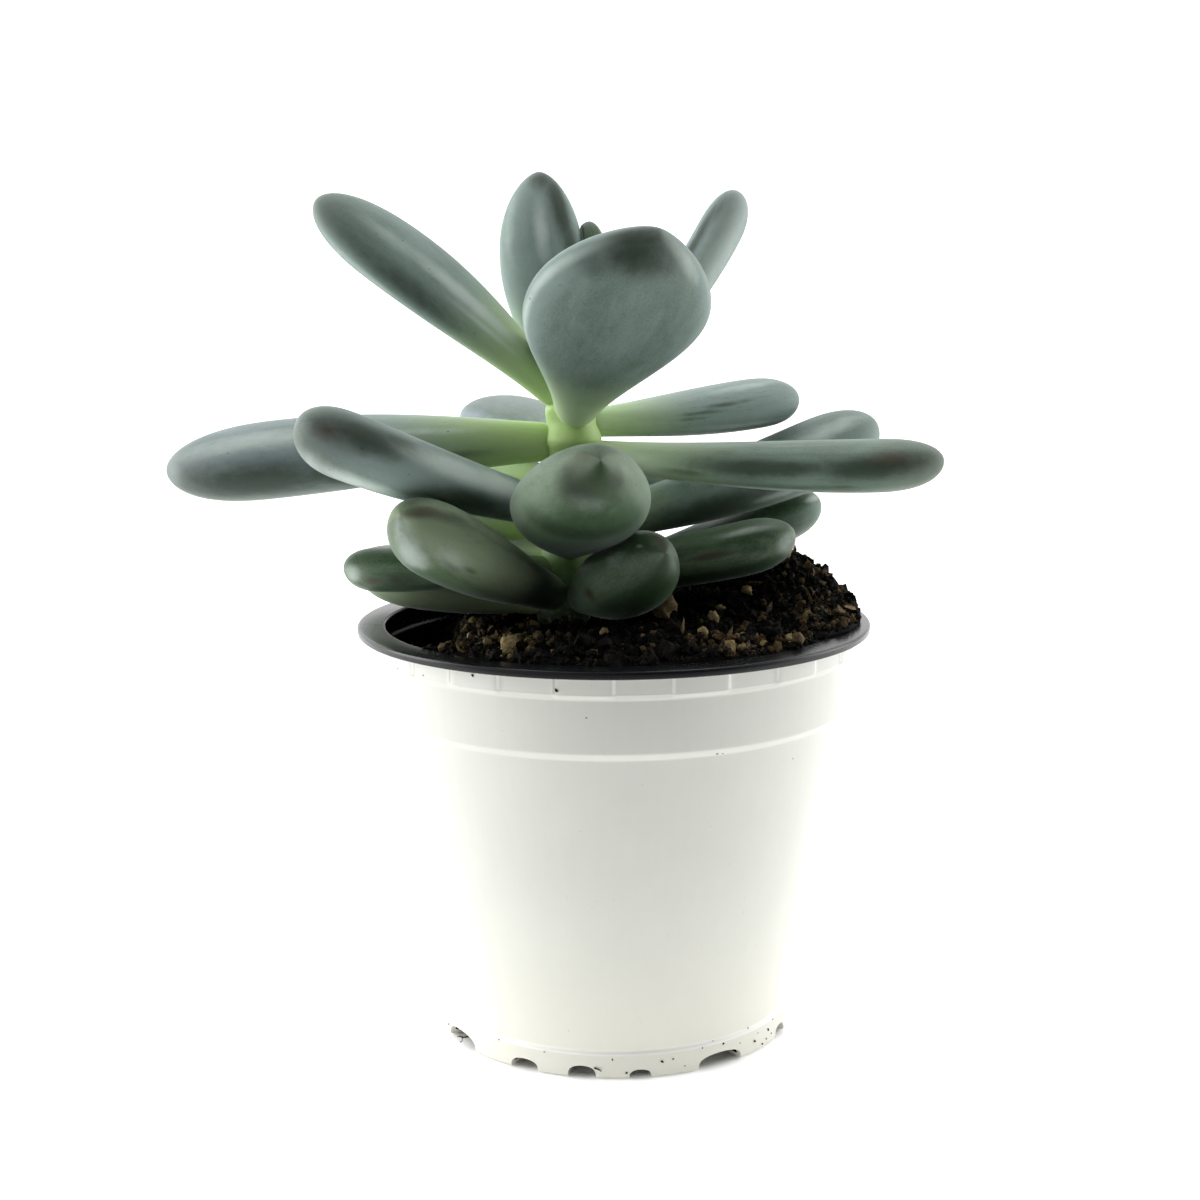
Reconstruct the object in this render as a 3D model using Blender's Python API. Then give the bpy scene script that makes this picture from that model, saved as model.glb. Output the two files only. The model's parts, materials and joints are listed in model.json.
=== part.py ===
"""A potted pachyphytum: a succulent with thick leaves on an upright stem, in a formed nursery pot.

+Z is up, -Y is the front and +X is to the right of it. The pot stands on z = 0, and the origin is under the
middle of the whole object's box. Sizes are in millimetres and angles in degrees, turned into metres and
radians where the meshes are made. Azimuth 0 points to +X and -90 to the front.
"""

import math
import random
from collections import namedtuple

import bmesh
import bpy
from mathutils import Vector
from mathutils.bvhtree import BVHTree

MM = 0.001
CLEARANCE = 0.3

# The pot is one formed sheet.
SHEET = 0.8
RIM_RADIUS = 52.5
RIM_HEIGHT = 84.5
LIP_DROP = 1.5
FLANGE_WIDTH = 5.7
BAND_RADIUS = 49.5
BAND_BOTTOM = 79.3
BAND_PANELS = 28
PANEL_RELIEF = 0.3
SEAM_ANGLE = 1.1
COLLAR_TOP_RADIUS = 48.7
COLLAR_BOTTOM_RADIUS = 48.2
STEP_HEIGHT = 67.9
STEP_DROP = 1.4
BODY_TOP_RADIUS = 46.8
BODY_BOTTOM_RADIUS = 36.2
SKIRT_HEIGHT = 4.8
SKIRT_TOP_RADIUS = 36.6
FOOT_RADIUS = 36.9
FOOT_WIDTH = 3.5
FLOOR_RISE = 3.0

# Arched drain slots through the foot: the azimuth of the middle, the angle it spans, and its height.
DRAIN_SLOTS = (
    (-149, 18, 2.8), (-119.5, 10, 2.2), (-100.5, 9, 2.4), (-82.5, 7, 1.7), (-55.5, 17, 2.7), (-23.5, 8, 2.2),
    (12, 9, 2.3), (42, 8, 2.1), (70, 11, 2.4), (97, 8, 2.0), (125, 10, 2.3), (156, 9, 2.2),
)

# The soil fills the pot, heaps over the flange at the right and falls away from the wall at the left.
SOIL_LEVEL = 84.2
SOIL_SIDES = 48
SOIL_RINGS = 10
SOIL_RING_SPREAD = 0.6
SOIL_WALL_GAP = 0.6
SOIL_DISH_DEPTH = 1.2
SOIL_DISH_SPREAD = 8.0
HEAP_HEIGHT = 11.0
HEAP_SPREAD = 13.6
HEAP_CENTRE = (35.2, 16.5)
SPILL_REACH = 4.4
SPILL_AZIMUTH = 14
SPILL_HALF_ANGLE = 42
SPILL_EDGE = 0.7
SPILL_SLOPE_WIDTH = 8.0
HOLLOW_DEPTH = 10.0
HOLLOW_AZIMUTH = 174
HOLLOW_HALF_ANGLE = 52
HOLLOW_START = 30.0
HOLLOW_SLOPE_WIDTH = 6.0
CRUMB_COUNT = 90
CRUMBLESS_RADIUS = 16.0
PUMICE_COUNT = 12

# The stem leans slightly, and stands in a hole in the soil.
STEM_FOOT = Vector((-10.6, 0.0, 70.0))
STEM_TOP = Vector((-8.2, 0.0, 130.5))
STEM_FOOT_RADIUS = 5.6
STEM_TOP_RADIUS = 4.3
STEM_SIDES = 20

# How a leaf swells from its root to its tip: where it is widest and thickest, how narrow and thin its neck is
# and how far the neck's hollow curve reaches, and how pointed and how blunt its tip is.
Form = namedtuple("Form", "widest neck hollow point blunt fullest neck_depth")
FORMS = {
    "spoon": Form(widest=0.62, neck=0.34, hollow=1.5, point=0.56, blunt=2.3, fullest=0.68, neck_depth=0.52),
    "lance": Form(widest=0.58, neck=0.34, hollow=1.5, point=0.62, blunt=2.2, fullest=0.62, neck_depth=0.52),
    "tongue": Form(widest=0.64, neck=0.34, hollow=1.4, point=0.50, blunt=2.4, fullest=0.74, neck_depth=0.50),
    "club": Form(widest=0.72, neck=0.38, hollow=1.5, point=0.50, blunt=2.6, fullest=0.82, neck_depth=0.56),
    "broad": Form(widest=0.55, neck=0.26, hollow=1.5, point=0.72, blunt=2.0, fullest=0.66, neck_depth=0.50),
    "paddle": Form(widest=0.64, neck=0.21, hollow=1.75, point=0.70, blunt=2.0, fullest=0.68, neck_depth=0.50),
    "stout": Form(widest=0.70, neck=0.50, hollow=1.5, point=0.50, blunt=2.3, fullest=0.78, neck_depth=0.75),
    "egg": Form(widest=0.60, neck=0.24, hollow=1.4, point=0.52, blunt=2.2, fullest=0.64, neck_depth=0.30),
    "plump": Form(widest=0.68, neck=0.36, hollow=1.5, point=0.50, blunt=2.3, fullest=0.76, neck_depth=0.46),
}
ROOT_ROUNDING = 0.07
ROOT_OFFSET = 1.0
UPPER_FULLNESS = 0.9
LOWER_FULLNESS = 1.1
LEAF_SIDES = 12
LEAF_RINGS = 11
SPINE_STEPS = 60
PRESSED_CLEARANCE = 0.6

# One row for each leaf, from the top of the stem down. root is the height of the leaf's root. azimuth and
# rise point from its root to its tip, curl and sway bend that line upwards and sideways, and roll turns the
# leaf's faces about it.
Leaf = namedtuple("Leaf", "root azimuth rise length width thickness curl sway roll form")
LEAVES = (
    # Young leaves round the growing tip.
    Leaf(130.5, -155, 66, 17, 7.5, 5.5, 0, 0, 0, "spoon"),
    Leaf(130.5, -35, 70, 16, 7.0, 5.0, 0, 0, 0, "spoon"),
    Leaf(130.5, 82, 54, 43, 10, 7.5, 0, 0, 0, "spoon"),
    # The raised leaves of the crown.
    Leaf(128.0, 102, 56, 57.6, 18.0, 11, -4, -27, -4, "lance"),
    Leaf(128.5, -177, 39.5, 64.5, 18.6, 10, -15, 0, -36, "tongue"),
    Leaf(126.5, 0, 54, 55.5, 12.8, 9, 22, 0, 0, "club"),
    Leaf(125.5, -62.6, 44.7, 53.1, 36.5, 15, -3, 22, -13, "paddle"),
    # The long level leaves.
    Leaf(124.9, 32, 3.5, 55.0, 20, 10, 6, 0, 4, "club"),
    Leaf(121.4, -179, -4.2, 81.5, 23.2, 15, -10, 0, -12, "tongue"),
    Leaf(121.0, 111, 2.5, 54.5, 22, 11, 0, 0, 0, "spoon"),
    Leaf(119.2, -22, 0.5, 76, 19, 10, 8, 0, 4, "club"),
    Leaf(112.0, 64, -1, 52, 20, 10, 0, 0, 0, "spoon"),
    Leaf(112.0, 128, 3, 50, 18, 9, 0, 0, 0, "spoon"),
    # The leaves of the middle of the stem.
    Leaf(107.0, -141, 19.5, 65, 18, 13, 8, 0, -10, "club"),
    Leaf(106.0, 92, -8, 47, 20, 10, 0, 0, 0, "spoon"),
    Leaf(103.8, 21, 15.3, 72, 22, 13.0, 16, 0, 6, "club"),
    Leaf(103.5, 150, 4, 37, 17, 10, 0, 0, 0, "spoon"),
    Leaf(101.0, -80.5, 25.7, 49, 27, 16.8, 8, 10, 0, "broad"),
    Leaf(97.0, 116, -4, 50, 20, 11, 0, 0, 0, "spoon"),
    # The lowest leaves, near the soil.
    Leaf(91.2, 28, 13.4, 62.3, 17.4, 10.4, 9, 0, 0, "club"),
    Leaf(95.0, 72, -3, 50, 20, 11, 0, 0, 0, "spoon"),
    Leaf(96.0, 153, -4, 51, 16, 9, 0, 0, 0, "club"),
    Leaf(95.4, -161, 3, 45.5, 14.5, 8.6, 0, 0, -4, "club"),
    Leaf(93.4, -7, 11.7, 47, 17, 10.8, 6, 0, 4, "stout"),
    Leaf(88.2, -52, 23.8, 34.5, 16.8, 16.2, 0, 0, 14, "egg"),
    Leaf(89.5, -129, 25, 51, 20, 15, 6, 0, -14, "plump"),
    Leaf(88.0, 180, 8, 41.5, 15, 9.5, 0, 0, 0, "spoon"),
)


def clear_scene():
    for obj in list(bpy.data.objects):
        bpy.data.objects.remove(obj, do_unlink=True)


def principled(name, colour, roughness, subsurface=0.0):
    material = bpy.data.materials.new(name)
    material.use_nodes = True
    shader = material.node_tree.nodes["Principled BSDF"]
    shader.inputs["Base Color"].default_value = (*colour, 1.0)
    shader.inputs["Roughness"].default_value = roughness
    shader.inputs["Metallic"].default_value = 0.0
    shader.inputs["Subsurface Weight"].default_value = subsurface
    material.diffuse_color = (*colour, 1.0)
    return material


def add_object(name, bm, material=None):
    """A new object from a bmesh in millimetres, with its faces pointing out."""
    bmesh.ops.recalc_face_normals(bm, faces=bm.faces)
    bmesh.ops.scale(bm, vec=(MM, MM, MM), verts=bm.verts)
    mesh = bpy.data.meshes.new(name)
    bm.to_mesh(mesh)
    bm.free()
    if material:
        mesh.materials.append(material)
    mesh.shade_smooth()
    mesh.set_sharp_from_angle(angle=math.radians(40))
    obj = bpy.data.objects.new(name, mesh)
    bpy.context.scene.collection.objects.link(obj)
    return obj


def add_helper(name, bm):
    """A solid that only cuts other solids."""
    helper = add_object(name, bm)
    helper.hide_render = True
    helper.display_type = "WIRE"
    return helper


def cut(obj, cutter, label):
    modifier = obj.modifiers.new(label, "BOOLEAN")
    modifier.operation = "DIFFERENCE"
    modifier.solver = "EXACT"
    modifier.object = cutter


def smoothstep(value):
    share = min(max(value, 0.0), 1.0)
    return share * share * (3 - 2 * share)


def direction(azimuth, rise=0.0):
    turn, lift = math.radians(azimuth), math.radians(rise)
    return Vector((math.cos(lift) * math.cos(turn), math.cos(lift) * math.sin(turn), math.sin(lift)))


def angle_between(azimuth, other):
    return abs((azimuth - other + 180) % 360 - 180)


def skin_rings(bm, rings):
    """Joins rings of equally many points, each ring to the next."""
    for lower, upper in zip(rings, rings[1:]):
        for index in range(len(lower)):
            after = (index + 1) % len(lower)
            bm.faces.new((lower[index], lower[after], upper[after], upper[index]))


def cap_ring(bm, ring, pole):
    for index in range(len(ring)):
        bm.faces.new((ring[index], ring[(index + 1) % len(ring)], pole))


# The pot.

def pot_profile():
    """The sheet's section as (radius, height, follows the panels), from its underside round to its top."""
    step_bottom = STEP_HEIGHT - STEP_DROP
    inner_edge = RIM_RADIUS - FLANGE_WIDTH
    flange_underside = RIM_HEIGHT - SHEET
    lip_bottom = RIM_HEIGHT - LIP_DROP
    trough_outer = SKIRT_TOP_RADIUS - SHEET
    trough_inner = FOOT_RADIUS - FOOT_WIDTH + SHEET
    outside = [
        (FOOT_RADIUS - FOOT_WIDTH - 0.2, FLOOR_RISE, False),
        (FOOT_RADIUS - FOOT_WIDTH, 0.0, False),
        (FOOT_RADIUS, 0.0, False),
        (SKIRT_TOP_RADIUS, SKIRT_HEIGHT, False),
        (BODY_BOTTOM_RADIUS, SKIRT_HEIGHT + 0.5, False),
        (BODY_TOP_RADIUS, step_bottom, False),
        (COLLAR_BOTTOM_RADIUS, STEP_HEIGHT, False),
        (COLLAR_TOP_RADIUS, BAND_BOTTOM - 0.9, False),
        (BAND_RADIUS, BAND_BOTTOM, True),
        (BAND_RADIUS, flange_underside, True),
        (RIM_RADIUS - SHEET, flange_underside, False),
        (RIM_RADIUS - SHEET + 0.1, lip_bottom, False),
        (RIM_RADIUS - 0.1, lip_bottom, False),
        (RIM_RADIUS, RIM_HEIGHT - 0.4, False),
        (RIM_RADIUS - 0.4, RIM_HEIGHT, False),
    ]
    inside = [
        (inner_edge, RIM_HEIGHT, False),
        (inner_edge, flange_underside - 0.4, False),
        (BAND_RADIUS - PANEL_RELIEF - SHEET, flange_underside - 0.9, False),
        (BAND_RADIUS - PANEL_RELIEF - SHEET, BAND_BOTTOM + 0.4, False),
        (COLLAR_TOP_RADIUS - SHEET, BAND_BOTTOM - 0.6, False),
        (COLLAR_BOTTOM_RADIUS - SHEET, STEP_HEIGHT + 0.3, False),
        (BODY_TOP_RADIUS - SHEET, step_bottom + 0.3, False),
        (BODY_BOTTOM_RADIUS - SHEET, SKIRT_HEIGHT + 0.7, False),
        (trough_outer, SHEET, False),
        (trough_inner, SHEET, False),
        (trough_inner - 0.3, FLOOR_RISE + SHEET, False),
    ]
    return outside + inside


def panel_angles():
    """Two points for each panel, with a seam between neighbours, and whether the panel stands proud."""
    pitch = 360 / BAND_PANELS
    angles = []
    for panel in range(BAND_PANELS):
        start = -90 + panel * pitch
        angles += [(start + SEAM_ANGLE / 2, panel % 2), (start + pitch - SEAM_ANGLE / 2, panel % 2)]
    return angles


def make_pot():
    angles = panel_angles()
    bm = bmesh.new()

    def ring(radius, height, panelled):
        points = []
        for azimuth, proud in angles:
            reach = radius - (0 if proud or not panelled else PANEL_RELIEF)
            points.append(bm.verts.new(direction(azimuth) * reach + Vector((0, 0, height))))
        return points

    rings = [ring(*point) for point in pot_profile()]
    skin_rings(bm, rings)
    cap_ring(bm, rings[0], bm.verts.new((0, 0, FLOOR_RISE)))
    cap_ring(bm, rings[-1], bm.verts.new((0, 0, FLOOR_RISE + SHEET)))
    pot = add_object("pot", bm, principled("pot_white", (0.86, 0.86, 0.84), 0.35))
    for number, (azimuth, span, height) in enumerate(DRAIN_SLOTS, 1):
        cut(pot, make_slot_cutter(f"slot_cutter_{number:02d}", azimuth, span, height), f"drain slot {number}")
    return pot


def make_slot_cutter(name, azimuth, span, height):
    """An arch that runs outwards through the foot, a little below it and a little past both its sides."""
    half = FOOT_RADIUS * math.radians(span) / 2
    arch = [(-half, -1.0), (-half, height * 0.3), (-half * 0.62, height * 0.9), (0.0, height),
            (half * 0.62, height * 0.9), (half, height * 0.3), (half, -1.0)]
    outwards = direction(azimuth)
    across = direction(azimuth + 90)
    bm = bmesh.new()
    rings = []
    for reach, spread in ((FOOT_RADIUS - FOOT_WIDTH - 1.5, 0.9), (FOOT_RADIUS + 1.5, 1.0)):
        rings.append([bm.verts.new(outwards * reach + across * side * spread + Vector((0, 0, up)))
                      for side, up in arch])
    skin_rings(bm, rings)
    for ring in rings:
        bm.faces.new(ring)
    return add_helper(name, bm)


# The soil.

def soil_height(x, y):
    """The soil's level before its crumbs: a heap at the right, a hollow at the left, a dish at the stem."""
    reach = math.hypot(x, y)
    azimuth = math.degrees(math.atan2(y, x))
    from_heap = (x - HEAP_CENTRE[0]) ** 2 + (y - HEAP_CENTRE[1]) ** 2
    heap = HEAP_HEIGHT * math.exp(-from_heap / (2 * HEAP_SPREAD ** 2))
    facing = smoothstep(1.6 * (1 - angle_between(azimuth, HOLLOW_AZIMUTH) / HOLLOW_HALF_ANGLE))
    hollow = HOLLOW_DEPTH * facing * smoothstep((reach - HOLLOW_START) / HOLLOW_SLOPE_WIDTH)
    from_stem = (x - STEM_FOOT.x) ** 2 + (y - STEM_FOOT.y) ** 2
    dish = SOIL_DISH_DEPTH * math.exp(-from_stem / (2 * SOIL_DISH_SPREAD ** 2))
    return SOIL_LEVEL + heap - hollow - dish


def scattered_crumbs():
    """Lumps on the soil as (x, y, radius, height)."""
    draw = random.Random(11)
    crumbs = []
    for _ in range(CRUMB_COUNT):
        reach = 49 * math.sqrt(draw.random())
        place = direction(draw.uniform(0, 360)) * reach
        crumbs.append((place.x, place.y, draw.uniform(3.0, 5.5), draw.uniform(0.4, 1.5)))
    return crumbs


def spill_reach(azimuth):
    """How far the heap hangs over the flange at an azimuth."""
    away = angle_between(azimuth, SPILL_AZIMUTH) / SPILL_HALF_ANGLE
    return SPILL_REACH * math.sqrt(max(0.0, 1 - away * away))


def make_soil(stem_clearance):
    crumbs = scattered_crumbs()
    wall = RIM_RADIUS - FLANGE_WIDTH - SOIL_WALL_GAP
    on_flange = RIM_HEIGHT + CLEARANCE
    body_slope = (BODY_TOP_RADIUS - BODY_BOTTOM_RADIUS) / (STEP_HEIGHT - STEP_DROP - SKIRT_HEIGHT)
    inside_body = BODY_TOP_RADIUS - SHEET - SOIL_WALL_GAP - 0.35
    bottom = FLOOR_RISE + SHEET + CLEARANCE
    bottom_radius = inside_body - body_slope * (STEP_HEIGHT - STEP_DROP - bottom)
    bottom_radius = min(bottom_radius, FOOT_RADIUS - FOOT_WIDTH + SHEET - 0.3 - SOIL_WALL_GAP)

    def surface(x, y, edge_reach, spills):
        level = soil_height(x, y)
        bare = smoothstep(math.hypot(x - STEM_FOOT.x, y - STEM_FOOT.y) / CRUMBLESS_RADIUS)
        for crumb_x, crumb_y, radius, height in crumbs:
            near = 1 - ((x - crumb_x) ** 2 + (y - crumb_y) ** 2) / radius ** 2
            level += height * bare * max(0.0, near)
        if spills:
            ledge = on_flange + SPILL_EDGE
            share = min(1.0, max(0.0, (edge_reach - math.hypot(x, y)) / SPILL_SLOPE_WIDTH))
            level = ledge + max(level - ledge, 0.2) * math.sqrt(share)
        return level

    bm = bmesh.new()
    columns = []
    for side in range(SOIL_SIDES):
        azimuth = side * 360 / SOIL_SIDES
        outwards = direction(azimuth)
        spills = angle_between(azimuth, SPILL_AZIMUTH) < SPILL_HALF_ANGLE + 360 / SOIL_SIDES
        edge_reach = wall + spill_reach(azimuth)
        column = []
        for ring in range(1, SOIL_RINGS + 1):
            reach = edge_reach * (ring / SOIL_RINGS) ** SOIL_RING_SPREAD
            point = outwards * reach
            column.append(Vector((point.x, point.y, surface(point.x, point.y, edge_reach, spills))))
        underside = on_flange if spills else column[-1].z - 1.0
        for reach, height in ((edge_reach, underside), (wall, underside), (wall, STEP_HEIGHT + 2.2),
                              (inside_body, STEP_HEIGHT - STEP_DROP - 1.0), (bottom_radius, bottom)):
            column.append(outwards * reach + Vector((0, 0, height)))
        columns.append([bm.verts.new(point) for point in column])
    rings = [list(ring) for ring in zip(*columns)]
    skin_rings(bm, rings)
    cap_ring(bm, rings[0], bm.verts.new((0, 0, surface(0, 0, wall, False))))
    cap_ring(bm, rings[-1], bm.verts.new((0, 0, bottom)))
    bmesh.ops.remove_doubles(bm, verts=bm.verts, dist=0.001)
    soil = add_object("soil", bm, principled("soil", (0.045, 0.032, 0.022), 0.95))
    fuse_pumice(soil)
    cut(soil, stem_clearance, "stem hole")
    return soil


def fuse_pumice(soil):
    """Joins small grains of pumice to the soil's surface."""
    draw = random.Random(4)
    grains = bpy.data.collections.new("pumice")
    bpy.context.scene.collection.children.link(grains)
    for _ in range(PUMICE_COUNT):
        place = direction(draw.uniform(-150, 60)) * draw.uniform(20, 43)
        size = draw.uniform(1.7, 2.7)
        bm = bmesh.new()
        bmesh.ops.create_icosphere(bm, subdivisions=1, radius=size)
        for vert in bm.verts:
            vert.co *= draw.uniform(0.85, 1.15)
            vert.co.z *= 0.8
            vert.co += Vector((place.x, place.y, soil_height(place.x, place.y) + 0.9))
        grain = add_object("grain", bm)
        bpy.context.scene.collection.objects.unlink(grain)
        grains.objects.link(grain)
    union = soil.modifiers.new("pumice", "BOOLEAN")
    union.operation = "UNION"
    union.solver = "EXACT"
    union.operand_type = "COLLECTION"
    union.collection = grains
    graph = bpy.context.evaluated_depsgraph_get()
    joined = bpy.data.meshes.new_from_object(soil.evaluated_get(graph))
    soil.modifiers.clear()
    soil.data = joined
    for grain in list(grains.objects):
        bpy.data.objects.remove(grain, do_unlink=True)
    bpy.data.collections.remove(grains)


# The stem.

def stem_axis(height):
    return STEM_FOOT.lerp(STEM_TOP, (height - STEM_FOOT.z) / (STEM_TOP.z - STEM_FOOT.z))


def stem_radius(height):
    share = (height - STEM_FOOT.z) / (STEM_TOP.z - STEM_FOOT.z)
    return STEM_FOOT_RADIUS + (STEM_TOP_RADIUS - STEM_FOOT_RADIUS) * share


def stem_bmesh(extra):
    """The stem, or with some extra all round it the space that its neighbours keep clear."""
    bm = bmesh.new()
    rings = []
    levels = [(STEM_FOOT.z - extra, 0.0), (90.0, 0.0), (110.0, 0.0)]
    if extra:
        levels.append((STEM_TOP.z + extra, 0.0))
    else:
        levels += [(STEM_TOP.z - 2.0, 0.0), (STEM_TOP.z - 0.6, 0.9), (STEM_TOP.z, 2.2)]
    for height, drawn_in in levels:
        radius = stem_radius(height) + extra - drawn_in
        centre = stem_axis(height)
        rings.append([bm.verts.new(centre + direction(side * 360 / STEM_SIDES) * radius)
                      for side in range(STEM_SIDES)])
    skin_rings(bm, rings)
    bm.faces.new(rings[0])
    bm.faces.new(rings[-1])
    return bm


def make_stem():
    return add_object("stem", stem_bmesh(0.0), principled("stem", (0.52, 0.62, 0.30), 0.5, 0.2))


# The leaves.

def swell(share, widest, neck, hollow, point, blunt):
    """A leaf's half-breadth at a share of its length, as a share of its largest."""
    if share < widest:
        return neck + (1 - neck) * math.sin(math.pi / 2 * share / widest) ** hollow
    fall = (share - widest) / (1 - widest)
    return max(0.0, 1 - fall ** blunt) ** point


def root_rounding(share):
    gone = 1 - min(share / ROOT_ROUNDING, 1.0)
    return math.sqrt(1 - gone * gone)


def leaf_spine(leaf):
    """Points along the middle of the leaf, evenly spaced, with the direction at each."""
    turn = leaf.azimuth - leaf.sway / 2
    point = stem_axis(leaf.root) + direction(turn) * ROOT_OFFSET
    spine = []
    for step in range(SPINE_STEPS + 1):
        share = step / SPINE_STEPS
        azimuth = leaf.azimuth + leaf.sway * (share - 0.5)
        rise = leaf.rise + leaf.curl * (share - 0.5)
        spine.append((point.copy(), azimuth, rise))
        point = point + direction(azimuth, rise) * (leaf.length / SPINE_STEPS)
    return spine


def leaf_section(leaf, spine, share, extra):
    """One ring of points round the leaf."""
    form = FORMS[leaf.form]
    place, azimuth, rise = spine[round(share * SPINE_STEPS)]
    along = direction(azimuth, rise)
    across = direction(azimuth + 90)
    upwards = along.cross(across)
    roll = math.radians(leaf.roll)
    sideways = across * math.cos(roll) + upwards * math.sin(roll)
    facing = upwards * math.cos(roll) - across * math.sin(roll)
    rounding = root_rounding(share)
    breadth = swell(share, form.widest, form.neck, form.hollow, form.point, form.blunt) * rounding
    depth = swell(share, form.fullest, form.neck_depth, form.hollow, 0.5, form.blunt) * rounding
    half_width = leaf.width / 2 * breadth + extra
    half_depth = leaf.thickness / 2 * depth
    points = []
    for side in range(LEAF_SIDES):
        turn = 2 * math.pi * side / LEAF_SIDES
        fullness = UPPER_FULLNESS if math.sin(turn) > 0 else LOWER_FULLNESS
        points.append(place + sideways * half_width * math.cos(turn)
                      + facing * (half_depth * fullness + extra) * math.sin(turn))
    return points


def leaf_bmesh(leaf, extra):
    """The leaf, or with some extra all round it the space that a leaf it presses against gives up."""
    bm = bmesh.new()
    spine = leaf_spine(leaf)
    rings = []
    for ring in range(1, LEAF_RINGS):
        share = 0.5 - 0.5 * math.cos(math.pi * ring / LEAF_RINGS)
        rings.append([bm.verts.new(point) for point in leaf_section(leaf, spine, share, extra)])
    skin_rings(bm, rings)
    for ring, (place, azimuth, rise), sign in ((rings[0], spine[0], -1), (rings[-1], spine[-1], 1)):
        cap_ring(bm, ring, bm.verts.new(place + direction(azimuth, rise) * sign * extra))
    bmesh.ops.triangulate(bm, faces=bm.faces)
    return bm


def make_leaves(stem_clearance):
    """Every leaf, each seated on the stem. Where two press together the narrower one is dented."""
    top, bottom = LEAVES[0].root, LEAVES[-1].root
    solids = [leaf_bmesh(leaf, 0.0) for leaf in LEAVES]
    spaces = [leaf_bmesh(leaf, PRESSED_CLEARANCE) for leaf in LEAVES]
    solid_trees = [BVHTree.FromBMesh(bm) for bm in solids]
    space_trees = [BVHTree.FromBMesh(bm) for bm in spaces]
    leaves, cutters = [], []
    for number, leaf in enumerate(LEAVES):
        share = (leaf.root - bottom) / (top - bottom)
        colour = (0.22 + 0.05 * share, 0.30 + 0.03 * share, 0.25 + 0.05 * share)
        name = f"leaf_{number + 1:02d}"
        leaves.append(add_object(name, solids[number], principled(name, colour, 0.6, 0.1)))
        cutters.append(add_helper(f"{name}_clearance", spaces[number]))
        cut(leaves[number], stem_clearance, "seat on the stem")
    by_width = sorted(range(len(LEAVES)), key=lambda number: -LEAVES[number].width)
    for rank, narrower in enumerate(by_width):
        for wider in by_width[:rank]:
            if solid_trees[narrower].overlap(space_trees[wider]):
                cut(leaves[narrower], cutters[wider], f"dent from leaf {wider + 1}")
    return leaves


def centre_on_origin(pieces):
    """Moves the whole object, by a parent empty, until the origin is under the middle of its box."""
    base = bpy.data.objects.new("plant_base", None)
    bpy.context.scene.collection.objects.link(base)
    graph = bpy.context.evaluated_depsgraph_get()
    xs, ys = [], []
    for piece in pieces:
        for corner in piece.evaluated_get(graph).bound_box:
            xs.append(corner[0])
            ys.append(corner[1])
    for obj in bpy.data.objects:
        if obj is not base:
            obj.parent = base
    base.location = (-(min(xs) + max(xs)) / 2, -(min(ys) + max(ys)) / 2, 0)


def main():
    clear_scene()
    stem_clearance = add_helper("stem_clearance", stem_bmesh(CLEARANCE))
    pieces = [make_pot(), make_soil(stem_clearance), make_stem(), *make_leaves(stem_clearance)]
    centre_on_origin(pieces)


main()
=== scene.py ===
"""Looks of a potted pachyphytum: thick powdered leaves on a short stem, peaty soil, a formed nursery pot.

The makers below work in millimetres from the pot's axis, with the floor at 0, -Y to the front and azimuths in
degrees, as the part's own source does. in_frame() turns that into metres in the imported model's frame.
"""

import json
import math
import random
from collections import namedtuple
from functools import partial

import bmesh
import bpy
import numpy as np
from mathutils import Matrix, Vector, noise

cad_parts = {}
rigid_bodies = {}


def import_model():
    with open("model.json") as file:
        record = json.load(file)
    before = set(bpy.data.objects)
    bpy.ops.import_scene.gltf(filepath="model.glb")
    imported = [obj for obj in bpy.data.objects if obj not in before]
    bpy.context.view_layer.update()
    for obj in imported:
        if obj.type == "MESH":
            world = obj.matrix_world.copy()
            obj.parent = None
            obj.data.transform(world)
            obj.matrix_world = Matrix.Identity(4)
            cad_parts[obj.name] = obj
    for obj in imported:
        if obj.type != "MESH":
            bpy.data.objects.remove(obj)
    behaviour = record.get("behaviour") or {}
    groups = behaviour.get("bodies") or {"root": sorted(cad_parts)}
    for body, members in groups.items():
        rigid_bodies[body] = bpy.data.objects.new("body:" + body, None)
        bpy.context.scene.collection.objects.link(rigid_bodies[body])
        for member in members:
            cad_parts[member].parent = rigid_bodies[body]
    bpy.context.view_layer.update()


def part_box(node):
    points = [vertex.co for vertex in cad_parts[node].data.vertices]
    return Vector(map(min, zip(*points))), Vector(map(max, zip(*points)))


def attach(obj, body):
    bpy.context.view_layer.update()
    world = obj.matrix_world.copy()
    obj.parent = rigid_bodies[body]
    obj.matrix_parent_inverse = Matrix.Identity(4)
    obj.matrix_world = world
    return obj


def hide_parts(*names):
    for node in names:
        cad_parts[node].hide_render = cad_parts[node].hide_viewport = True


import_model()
pot_low, pot_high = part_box("pot")

MM = 0.001
UP = np.array([0.0, 0.0, 1.0])
POT_AXIS = np.array([(pot_low.x + pot_high.x) / 2, (pot_low.y + pot_high.y) / 2, 0.0])


# Small helpers.

def in_frame(points):
    return np.asarray(points, float).reshape(-1, 3) * MM + POT_AXIS


def ease(value):
    """A smooth rise from 0 to 1."""
    share = np.clip(value, 0.0, 1.0)
    return share * share * (3 - 2 * share)


def heading(azimuth):
    """The level direction of an azimuth."""
    turn = math.radians(azimuth)
    return np.array([math.cos(turn), math.sin(turn), 0.0])


def angle_apart(azimuth, other):
    """Degrees between two azimuths, from 0 to 180."""
    return np.abs((azimuth - other + 180) % 360 - 180)


def paint(red, green, blue):
    """A colour as painted on screen, 0 to 255, as the shader's own linear one."""
    linear = [c / 12.92 if c <= 0.04045 else ((c + 0.055) / 1.055) ** 2.4
              for c in (red / 255, green / 255, blue / 255)]
    return (*linear, 1.0)


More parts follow.
